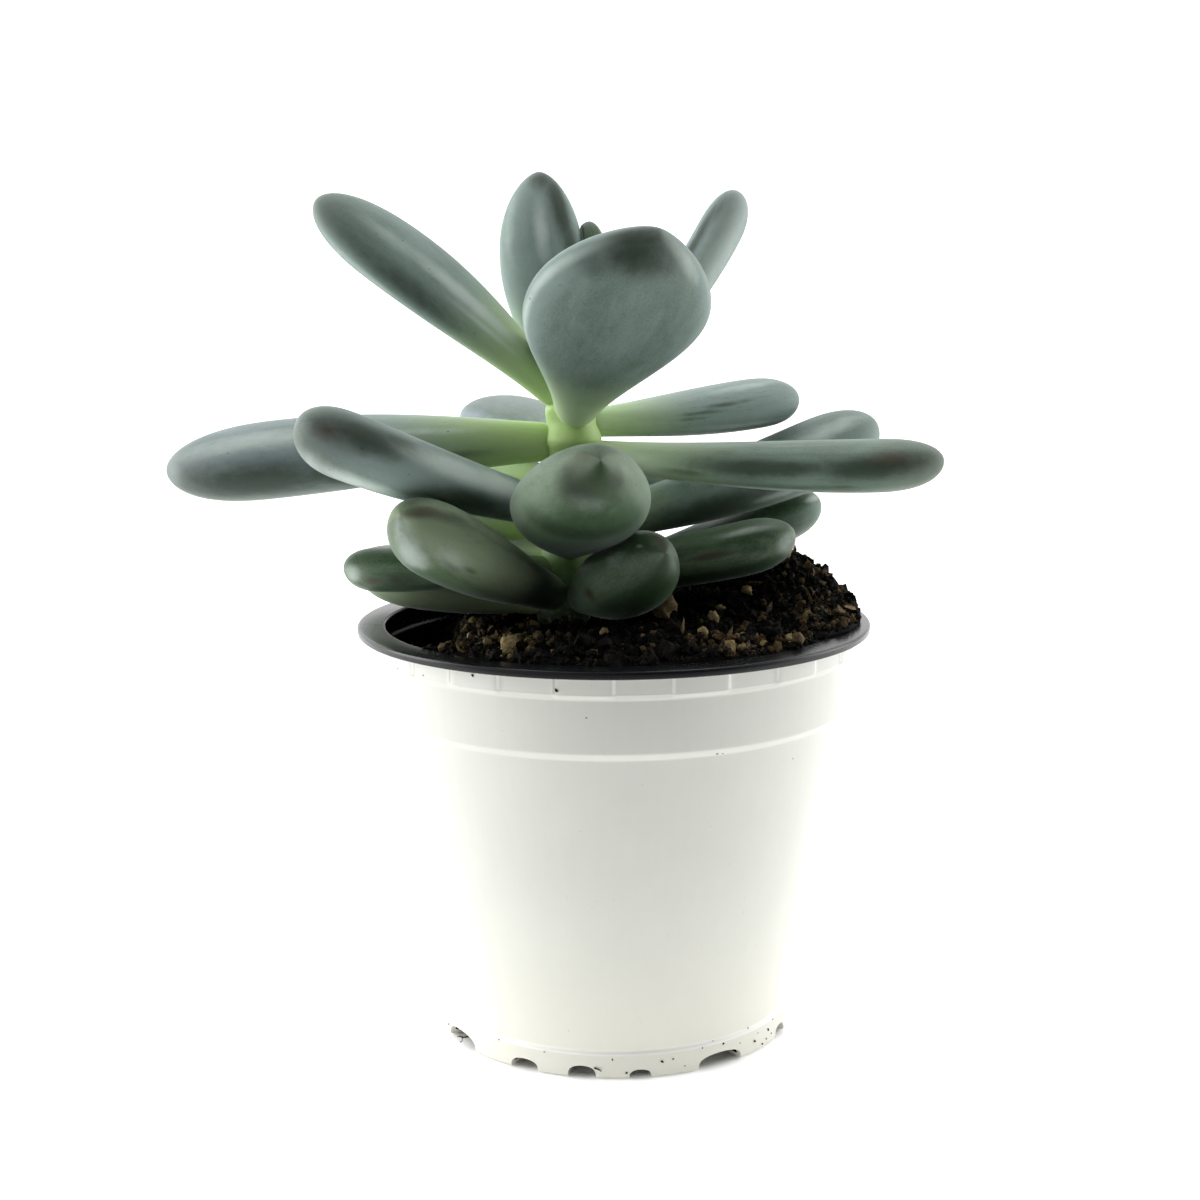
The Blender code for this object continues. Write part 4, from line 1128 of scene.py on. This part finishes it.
def soil_height(x, y):
    """The soil's level before its lumps: a heap at the right, a hollow at the left, a dish at the stem."""
    reach = np.hypot(x, y)
    azimuth = np.degrees(np.arctan2(y, x))
    from_heap = (x - HEAP_CENTRE[0]) ** 2 + (y - HEAP_CENTRE[1]) ** 2
    heap = HEAP_HEIGHT * np.exp(-from_heap / (2 * HEAP_SPREAD ** 2))
    facing = ease(1.6 * (1 - angle_apart(azimuth, HOLLOW_AZIMUTH) / HOLLOW_HALF_ANGLE))
    hollow = HOLLOW_DEPTH * facing * ease((reach - HOLLOW_START) / HOLLOW_SLOPE_WIDTH)
    from_stem = (x - STEM_FOOT[0]) ** 2 + (y - STEM_FOOT[1]) ** 2
    dish = SOIL_DISH_DEPTH * np.exp(-from_stem / (2 * SOIL_DISH_SPREAD ** 2))
    return SOIL_LEVEL + heap - hollow - dish


def lumps():
    """The same lumps as on the part's soil, as (x, y, radius, height)."""
    draw = random.Random(11)
    made = []
    for _ in range(CRUMB_COUNT):
        reach = CRUMB_REACH * math.sqrt(draw.random())
        place = heading(draw.uniform(0, 360)) * reach
        made.append((place[0], place[1], draw.uniform(*CRUMB_RADII), draw.uniform(*CRUMB_HEIGHTS)))
    return made


def soil_points():
    """The crumbly top, as turns x reaches x 3, then the rings of the wall and the foot below it."""
    wall = RIM_RADIUS - FLANGE_WIDTH - SOIL_WALL_GAP
    on_flange = RIM_HEIGHT + SPILL_ABOVE_FLANGE
    body_slope = (BODY_TOP_RADIUS - BODY_BOTTOM_RADIUS) / (STEP_HEIGHT - STEP_DROP - SKIRT_HEIGHT)
    inside_body = BODY_TOP_RADIUS - SHEET - SOIL_WALL_GAP - 0.35
    bottom = FLOOR_RISE + SHEET + 0.3
    bottom_radius = min(inside_body - body_slope * (STEP_HEIGHT - STEP_DROP - bottom),
                        FOOT_RADIUS - FOOT_WIDTH + SHEET - 0.3 - SOIL_WALL_GAP)
    azimuths = np.arange(SOIL_TURNS) * 360 / SOIL_TURNS
    away = np.clip(angle_apart(azimuths, SPILL_AZIMUTH) / SPILL_HALF_ANGLE, 0, 1)
    spill = SPILL_REACH * np.sqrt(1 - away ** 2)
    ragged = np.array([noise.noise(Vector((math.cos(math.radians(a)) * 9, math.sin(math.radians(a)) * 9, 4)))
                       for a in azimuths])
    edge = wall + spill * (1 + SPILL_RAGGEDNESS * ragged)
    shares = (np.arange(1, SOIL_REACHES + 1) / SOIL_REACHES) ** SOIL_CROWDING
    outwards = directions(np.radians(azimuths), np.zeros(SOIL_TURNS))[:, :2]
    flat = outwards[:, None, :] * (edge[:, None] * shares[None, :])[..., None]
    x, y = flat[..., 0], flat[..., 1]
    level = soil_height(x, y)
    bare = ease(np.hypot(x - STEM_FOOT[0], y - STEM_FOOT[1]) / CRUMBLESS_RADIUS)
    for lump_x, lump_y, radius, height in lumps():
        level += height * bare * np.clip(1 - ((x - lump_x) ** 2 + (y - lump_y) ** 2) / radius ** 2, 0, None)
    rough = np.array([[noise.fractal(Vector((px * 0.42, py * 0.42, 1.0)), 0.8, 2.0, 4)
                       + 0.5 * noise.noise(Vector((px * 1.3, py * 1.3, 7.0)))
                       for px, py in zip(row_x, row_y)] for row_x, row_y in zip(x, y)])
    level += rough * ROUGHNESS
    spills = (spill > 0.05)[:, None]
    ledge = on_flange + SPILL_EDGE
    share = np.clip((edge[:, None] - np.hypot(x, y)) / SPILL_SLOPE_WIDTH, 0, 1)
    over = ledge + np.clip(level - ledge, 0.2, None) * np.sqrt(share)
    level = np.where(spills, over, level)
    top = np.stack([x, y, level], -1)

    def ring(reach, height):
        reach = np.broadcast_to(reach, azimuths.shape)
        height = np.broadcast_to(height, azimuths.shape)
        return np.concatenate([outwards * reach[:, None], height[:, None]], 1)

    underside = np.where(spills[:, 0], on_flange, level[:, -1] - 1.0)
    below = [ring(edge, underside), ring(wall, underside), ring(wall, STEP_HEIGHT + 2.2),
             ring(inside_body, STEP_HEIGHT - STEP_DROP - 1.0), ring(bottom_radius, bottom)]
    return top, below, bottom


def soil_finish():
    soil = Finish("peaty_soil", Specular_IOR_Level=0.1)
    place = soil.place()
    crumbs = soil.cloud(place, 520.0, 5.0, 0.7)
    patches = soil.cloud(place, 95.0, 3.0)
    fine = soil.cloud(place, 1900.0, 3.0, 0.7)
    soil.feed("Base Color", soil.coats(
        soil.mixed(soil.between(crumbs, 0.45, 0.68), paint(2, 2, 2), paint(12, 10, 8)),
        (soil.between(patches, 0.52, 0.70, 0.0, 0.6), paint(40, 34, 22)),
        (soil.between(fine, 0.64, 0.72, 0.0, 0.5), paint(62, 53, 36))))
    soil.feed("Roughness", soil.between(crumbs, 0.3, 0.7, 0.70, 0.95))
    soil.feed("Normal", soil.bumps(fine, 0.6, 0.0003, soil.bumps(crumbs, 0.7, 0.0008)))
    return soil.material


def crumb_finish(name, dark, light, fleck, roughness):
    """A crumb's own tone between dark and light, with flecks and a rough surface."""
    crumb = Finish(name, Specular_IOR_Level=0.15)
    place = crumb.place()
    clouds = crumb.cloud(place, 1100.0, 4.0, 0.7)
    flecks = crumb.between(crumb.cloud(place, 2600.0, 2.0), 0.58, 0.66, 0.0, 0.7)
    tone = crumb.plus(crumb.times(crumb.field("crumb_tone"), 0.65), crumb.times(clouds, 0.35))
    tone = crumb.mixed(crumb.between(tone, 0.15, 0.85), paint(*dark), paint(*light))
    crumb.feed("Base Color", crumb.mixed(flecks, tone, paint(*fleck)))
    crumb.feed("Roughness", crumb.between(clouds, 0.3, 0.7, roughness - 0.1, roughness))
    crumb.feed("Normal", crumb.bumps(clouds, 0.7, 0.0003))
    return crumb.material


def crumb_shape(draw, corners, stretch):
    """One irregular crumb about a unit across: the hull of points scattered in a ball, stretched."""
    bm = bmesh.new()
    for _ in range(corners):
        point = Vector((draw.gauss(0, 1), draw.gauss(0, 1), draw.gauss(0, 1))).normalized()
        point *= draw.uniform(*CRUMB_REACHES)
        bm.verts.new((point.x * stretch[0], point.y * stretch[1], point.z * stretch[2]))
    hull = bmesh.ops.convex_hull(bm, input=bm.verts)
    inner = {vert for vert in hull["geom_interior"] + hull["geom_unused"]
             if isinstance(vert, bmesh.types.BMVert)}
    bmesh.ops.delete(bm, geom=list(inner), context="VERTS")
    bmesh.ops.recalc_face_normals(bm, faces=bm.faces)
    return bm


def ragged_shape(draw, corners, stretch):
    """A torn clod about a unit across: a ball whose points are pushed far in and out."""
    bm = bmesh.new()
    bmesh.ops.create_icosphere(bm, subdivisions=1 if corners < 20 else 2, radius=0.5)
    for vert in bm.verts:
        reach = draw.uniform(*CLOD_REACHES)
        vert.co = Vector((vert.co.x * stretch[0], vert.co.y * stretch[1], vert.co.z * stretch[2])) * reach
    bmesh.ops.recalc_face_normals(bm, faces=bm.faces)
    return bm


def crumb_shapes(name, count, corners, stretch, seed, shape=crumb_shape):
    """A collection of a few crumbs to scatter."""
    draw = random.Random(seed)
    shapes = bpy.data.collections.new(name)
    bpy.context.scene.collection.children.link(shapes)
    for number in range(count):
        title = f"{name}_{number}"
        shapes.objects.link(bpy.data.objects.new(title, mesh_of(shape(draw, corners, stretch), title)))
    return shapes


def scatter_tree():
    """Geometry nodes that scatter crumbs over a surface, in sizes from the smallest to the largest."""
    tree = bpy.data.node_groups.new("scattered_crumbs", "GeometryNodeTree")
    panel = tree.interface
    panel.new_socket("Surface", in_out="INPUT", socket_type="NodeSocketGeometry")
    for name, kind in (("Shapes", "Collection"), ("Per square metre", "Float"), ("Smallest", "Float"),
                       ("Largest", "Float"), ("Evenness", "Float"), ("Lift", "Float"), ("Seed", "Int"),
                       ("Material", "Material")):
        panel.new_socket(name, in_out="INPUT", socket_type=f"NodeSocket{kind}")
    panel.new_socket("Crumbs", in_out="OUTPUT", socket_type="NodeSocketGeometry")

    node = partial(add_node, tree)
    given = tree.nodes.new("NodeGroupInput").outputs
    room = node("GeometryNodeInputNamedAttribute", {"Name": "room"}, data_type="FLOAT").outputs["Attribute"]
    density = node("ShaderNodeMath", {0: given["Per square metre"], 1: room}, operation="MULTIPLY").outputs[0]
    points = node("GeometryNodeDistributePointsOnFaces",
                  {"Mesh": given["Surface"], "Density": density, "Seed": given["Seed"]})
    draw = node("FunctionNodeRandomValue", {"Seed": given["Seed"]}, data_type="FLOAT").outputs["Value"]
    spread = node("ShaderNodeMath", {0: draw, 1: given["Evenness"]}, operation="POWER").outputs[0]
    size = node("ShaderNodeMapRange", {"Value": spread, "To Min": given["Smallest"],
                                       "To Max": given["Largest"]}).outputs["Result"]
    turned = node("FunctionNodeRandomValue", {"Max": (6.283, 6.283, 6.283), "Seed": given["Seed"]},
                  data_type="FLOAT_VECTOR").outputs["Value"]
    shapes = node("GeometryNodeCollectionInfo", {"Collection": given["Shapes"], "Separate Children": True,
                                                 "Reset Children": True}).outputs["Instances"]
    placed = node("GeometryNodeInstanceOnPoints",
                  {"Points": points.outputs["Points"], "Instance": shapes, "Pick Instance": True,
                   "Rotation": turned, "Scale": size}).outputs["Instances"]
    up = node("ShaderNodeMath", {0: size, 1: given["Lift"]}, operation="MULTIPLY").outputs[0]
    offset = node("ShaderNodeCombineXYZ", {"Z": up}).outputs["Vector"]
    raised = node("GeometryNodeTranslateInstances", {"Instances": placed, "Translation": offset,
                                                     "Local Space": False}).outputs["Instances"]
    tone = node("FunctionNodeRandomValue", {"Seed": 77}, data_type="FLOAT").outputs["Value"]
    toned = node("GeometryNodeStoreNamedAttribute", {"Geometry": raised, "Name": "crumb_tone", "Value": tone},
                 data_type="FLOAT", domain="INSTANCE").outputs["Geometry"]
    real = node("GeometryNodeRealizeInstances", {"Geometry": toned}).outputs["Geometry"]
    finished = node("GeometryNodeSetMaterial", {"Geometry": real, "Material": given["Material"]})
    tree.links.new(finished.outputs["Geometry"], tree.nodes.new("NodeGroupOutput").inputs["Crumbs"])
    return tree


def scatter(name, tree, surface, **inputs):
    """Crumbs on a copy of the surface, as a plain mesh."""
    bed = add_object(name, surface.copy())
    modifier = bed.modifiers.new("scatter", "NODES")
    modifier.node_group = tree
    sockets = {item.name: item.identifier for item in tree.interface.items_tree if item.in_out == "INPUT"}
    for title, value in inputs.items():
        modifier[sockets[title.replace("_", " ")]] = value
    bake_modifiers(bed)
    bed.data.shade_flat()
    hand_over(bed, "soil")


def bed_mesh(name, top, room):
    """An open copy of the soil's top, with the room for crumbs at each point."""
    turns, reaches = top.shape[:2]
    points = np.concatenate([top.reshape(-1, 3), [[0, 0, top[:, 0, 2].mean()]]])
    faces = []
    for turn in range(turns):
        after = (turn + 1) % turns
        faces.append((turn * reaches, after * reaches, turns * reaches))
        for reach in range(reaches - 1):
            faces.append((turn * reaches + reach, turn * reaches + reach + 1, after * reaches + reach + 1,
                          after * reaches + reach))
    mesh = bpy.data.meshes.new(name)
    mesh.from_pydata(in_frame(points).tolist(), [], faces)
    values = np.concatenate([room.ravel(), [0.0]]).astype(np.float32)
    mesh.attributes.new("room", "FLOAT", "POINT").data.foreach_set("value", values)
    return mesh


def make_soil():
    top, below, bottom = soil_points()
    rings = [top[:, reach] for reach in range(SOIL_REACHES)] + below
    points, faces = closed_tube(np.array(rings), (0, 0, top[:, 0, 2].mean()), (0, 0, bottom))
    soil = new_object("soil_bed", points, faces, [soil_finish()])
    hand_over(soil, "soil", "soil")
    x, y = top[..., 0], top[..., 1]

    def thickening(reach, start, width):
        return ease((reach - start) / width)

    def patch(centre, spread):
        return np.exp(-((x - centre[0]) / spread[0]) ** 2 - ((y - centre[1]) / spread[1]) ** 2)

    clear_of_stem = thickening(np.hypot(x - STEM_FOOT[0], y - STEM_FOOT[1]), *FROM_STEM)
    heap_edge = thickening(np.hypot(x, y), *FROM_AXIS) * thickening(x, *TO_THE_RIGHT)
    front_right, front_left = patch(*FRONT_RIGHT), patch(*FRONT_LEFT)
    thick = np.clip(STRAY_CRUMBS + heap_edge + front_right + front_left, 0, 1)
    thin = np.clip(STRAY_CRUMBS + 0.30 * heap_edge + front_right + 0.7 * front_left, 0, 1)
    beds = {
        "crumb_bed": bed_mesh("crumb_bed", top, clear_of_stem),
        "heap_bed": bed_mesh("heap_bed", top, clear_of_stem * thick),
        "mossy_bed": bed_mesh("mossy_bed", top, clear_of_stem * front_left),
        "lit_bed": bed_mesh("lit_bed", top, clear_of_stem * thin),
    }
    tree = scatter_tree()
    shapes = {
        "peat_crumb": crumb_shapes("peat_crumb", 8, 12, (1.0, 0.85, 0.75), 21, ragged_shape),
        "soil_clod": crumb_shapes("soil_clod", 7, 42, (1.0, 0.9, 0.8), 24, ragged_shape),
        "bark_chip": crumb_shapes("bark_chip", 6, 14, (1.5, 0.75, 0.32), 22),
        "pumice_grain": crumb_shapes("pumice_grain", 6, 22, (1.1, 0.95, 0.8), 23),
    }
    for kind in SCATTERED:
        finish = crumb_finish(kind.name, kind.dark, kind.light, kind.fleck, kind.roughness)
        scatter(f"{kind.name}s", tree, beds[kind.bed], Shapes=shapes[kind.shape],
                Per_square_metre=kind.number, Smallest=kind.smallest, Largest=kind.largest,
                Evenness=kind.evenness, Lift=kind.lift, Seed=kind.seed, Material=finish)
    for collection in shapes.values():
        for shape in list(collection.objects):
            bpy.data.objects.remove(shape)
        bpy.data.collections.remove(collection)
    place_grains(top)


def place_grains(top):
    """The larger pale grains and chips that lie on top, each where the photograph shows it."""
    draw = random.Random(41)
    places = top.reshape(-1, 3)
    points, faces, tones, first = [], [], [], 0
    for x, y, size, tone in GRAINS:
        nearest = places[np.argmin((places[:, 0] - x) ** 2 + (places[:, 1] - y) ** 2)]
        centre = np.array([x, y, nearest[2] + size * GRAIN_LIFT])
        bm = crumb_shape(draw, GRAIN_CORNERS, GRAIN_STRETCH)
        bmesh.ops.subdivide_edges(bm, edges=bm.edges, cuts=1, smooth=0.4, use_grid_fill=True)
        turned = Matrix.Rotation(draw.uniform(0, 6.3), 3, Vector((draw.random(), draw.random(), 0.4)))
        bm.verts.index_update()
        for vert in bm.verts:
            rough = 1 + GRAIN_ROUGHNESS * noise.noise(vert.co * 4 + Vector((first, 0, 0)))
            points.append(centre + np.array(turned @ vert.co) * size * rough)
            tones.append(tone)
        faces += [[first + vert.index for vert in face.verts] for face in bm.faces]
        first = len(points)
        bm.free()
    finish = crumb_finish("placed_grain", (62, 48, 30), (176, 156, 112), (96, 76, 46), 0.8)
    grains = new_object("placed_grains", points, faces, [finish], {"crumb_tone": tones})
    hand_over(grains, "soil")


# The floor, the light and the camera.

CAMERA_HEIGHT = 160.7
CAMERA_DISTANCE = 405.0
CAMERA_PITCH = math.radians(10.12)
CAMERA_YAW = math.radians(-0.39)
CAMERA_ROLL = math.radians(-0.38)
FRONT_LIGHT = 0.03
BACK_LIGHT = 1.5
LEFT_LIGHT = 0.7
OVERHEAD_LIGHT = 0.62
LEFT_SOFTBOX = 5.0
RIGHT_SOFTBOX = 3.2
TOP_SOFTBOX = 2.0
FLOOR_GLOW = 0.60
GLOW_ENDS = (-0.26, -0.11)
FLOOR_HALF_WIDTH = 3.0
FLOOR_BELOW = 0.0002
LIGHT_TARGET = (0.0, 0.0, 0.10)
# Where the glow begins round the pot's foot: none under it.
GLOW_ROUND_FOOT = (0.034, 0.040)


def make_floor():
    """A pale sweep that glows round the pot and falls off well in front of it, out of the picture."""
    floor = Finish("pale_floor", Roughness=0.8, Specular_IOR_Level=0.1, Emission_Color=(1.0, 1.0, 1.0, 1.0))
    place = floor.place()
    clouds = floor.cloud(place, 4.0, 2.0)
    near = floor.between(floor.split(place)["Y"], *GLOW_ENDS)
    away = floor.node("ShaderNodeVectorMath", {0: floor.from_axis(place)}, operation="LENGTH")
    clear = floor.between(away.outputs["Value"], *GLOW_ROUND_FOOT)
    pale = floor.mixed(clouds, paint(247, 247, 246), paint(250, 250, 250))
    floor.feed("Base Color", floor.mixed(near, paint(150, 150, 150), pale))
    floor.feed("Emission Strength", floor.times(floor.times(near, clear), FLOOR_GLOW))
    mesh = bpy.data.meshes.new("floor")
    corners = [(x * FLOOR_HALF_WIDTH, y * FLOOR_HALF_WIDTH, -FLOOR_BELOW)
               for x, y in ((-1, -1), (1, -1), (1, 1), (-1, 1))]
    mesh.from_pydata(corners, [], [(0, 1, 2, 3)])
    mesh.materials.append(floor.material)
    add_object("floor", mesh)


def add_softbox(name, place, size, power):
    light = bpy.data.lights.new(name, "AREA")
    light.shape = "RECTANGLE"
    light.size, light.size_y = size
    light.energy = power
    lamp = add_object(name, light)
    lamp.location = place
    lamp.rotation_euler = (Vector(LIGHT_TARGET) - Vector(place)).to_track_quat("-Z", "Y").to_euler()


def make_light():
    """A white studio, bright behind and at the sides, most at the left, with the camera's own side dark."""
    scene = bpy.context.scene
    scene.view_settings.view_transform = "Standard"
    world = bpy.data.worlds.new("white_studio")
    scene.world = world
    world.use_nodes = True
    tree = world.node_tree
    node = partial(add_node, tree)
    aim = node("ShaderNodeTexCoord", {}).outputs["Generated"]
    axes = node("ShaderNodeSeparateXYZ", {"Vector": aim}).outputs

    def graded(axis, start, end, from_level, to_level):
        sockets = {"Value": axes[axis], "From Min": start, "From Max": end, "To Min": from_level,
                   "To Max": to_level}
        return node("ShaderNodeMapRange", sockets, interpolation_type="SMOOTHSTEP").outputs["Result"]

    behind = graded("Y", -0.75, 0.35, FRONT_LIGHT, BACK_LIGHT)
    left = graded("X", 0.2, -0.95, 0.0, LEFT_LIGHT)
    overhead = graded("Z", 0.25, 0.85, 1.0, OVERHEAD_LIGHT)
    sides = node("ShaderNodeMath", {0: behind, 1: left}, operation="ADD").outputs[0]
    strength = node("ShaderNodeMath", {0: sides, 1: overhead}, operation="MULTIPLY").outputs[0]
    tree.links.new(strength, tree.nodes["Background"].inputs["Strength"])
    tree.nodes["Background"].inputs["Color"].default_value = (1.0, 1.0, 1.0, 1.0)
    add_softbox("left_softbox", (-0.85, 0.10, 0.35), (0.5, 0.7), LEFT_SOFTBOX)
    add_softbox("right_softbox", (0.85, 0.25, 0.35), (0.5, 0.7), RIGHT_SOFTBOX)
    add_softbox("top_softbox", (0.0, 0.45, 0.85), (0.8, 0.6), TOP_SOFTBOX)


def make_camera():
    camera = bpy.data.cameras.new("camera")
    camera.sensor_fit = "HORIZONTAL"
    camera.sensor_width = 36.0
    camera.lens = 60.0
    camera.clip_start = 0.01
    pitch, yaw, roll = CAMERA_PITCH, CAMERA_YAW, CAMERA_ROLL
    right = Vector((math.cos(yaw), -math.sin(yaw), 0))
    ahead = Vector((math.sin(yaw) * math.cos(pitch), math.cos(yaw) * math.cos(pitch), -math.sin(pitch)))
    up = Vector((math.sin(yaw) * math.sin(pitch), math.cos(yaw) * math.sin(pitch), math.cos(pitch)))
    across = right * math.cos(roll) + up * math.sin(roll)
    upright = up * math.cos(roll) - right * math.sin(roll)
    turned = Matrix((across, upright, -ahead)).transposed().to_4x4()
    obj = add_object("camera", camera)
    obj.matrix_world = Matrix.Translation(in_frame([(0, -CAMERA_DISTANCE, CAMERA_HEIGHT)])[0]) @ turned
    bpy.context.scene.camera = obj


make_camera()
make_light()
make_floor()
make_pot()
make_soil()
make_stem()
make_leaves()
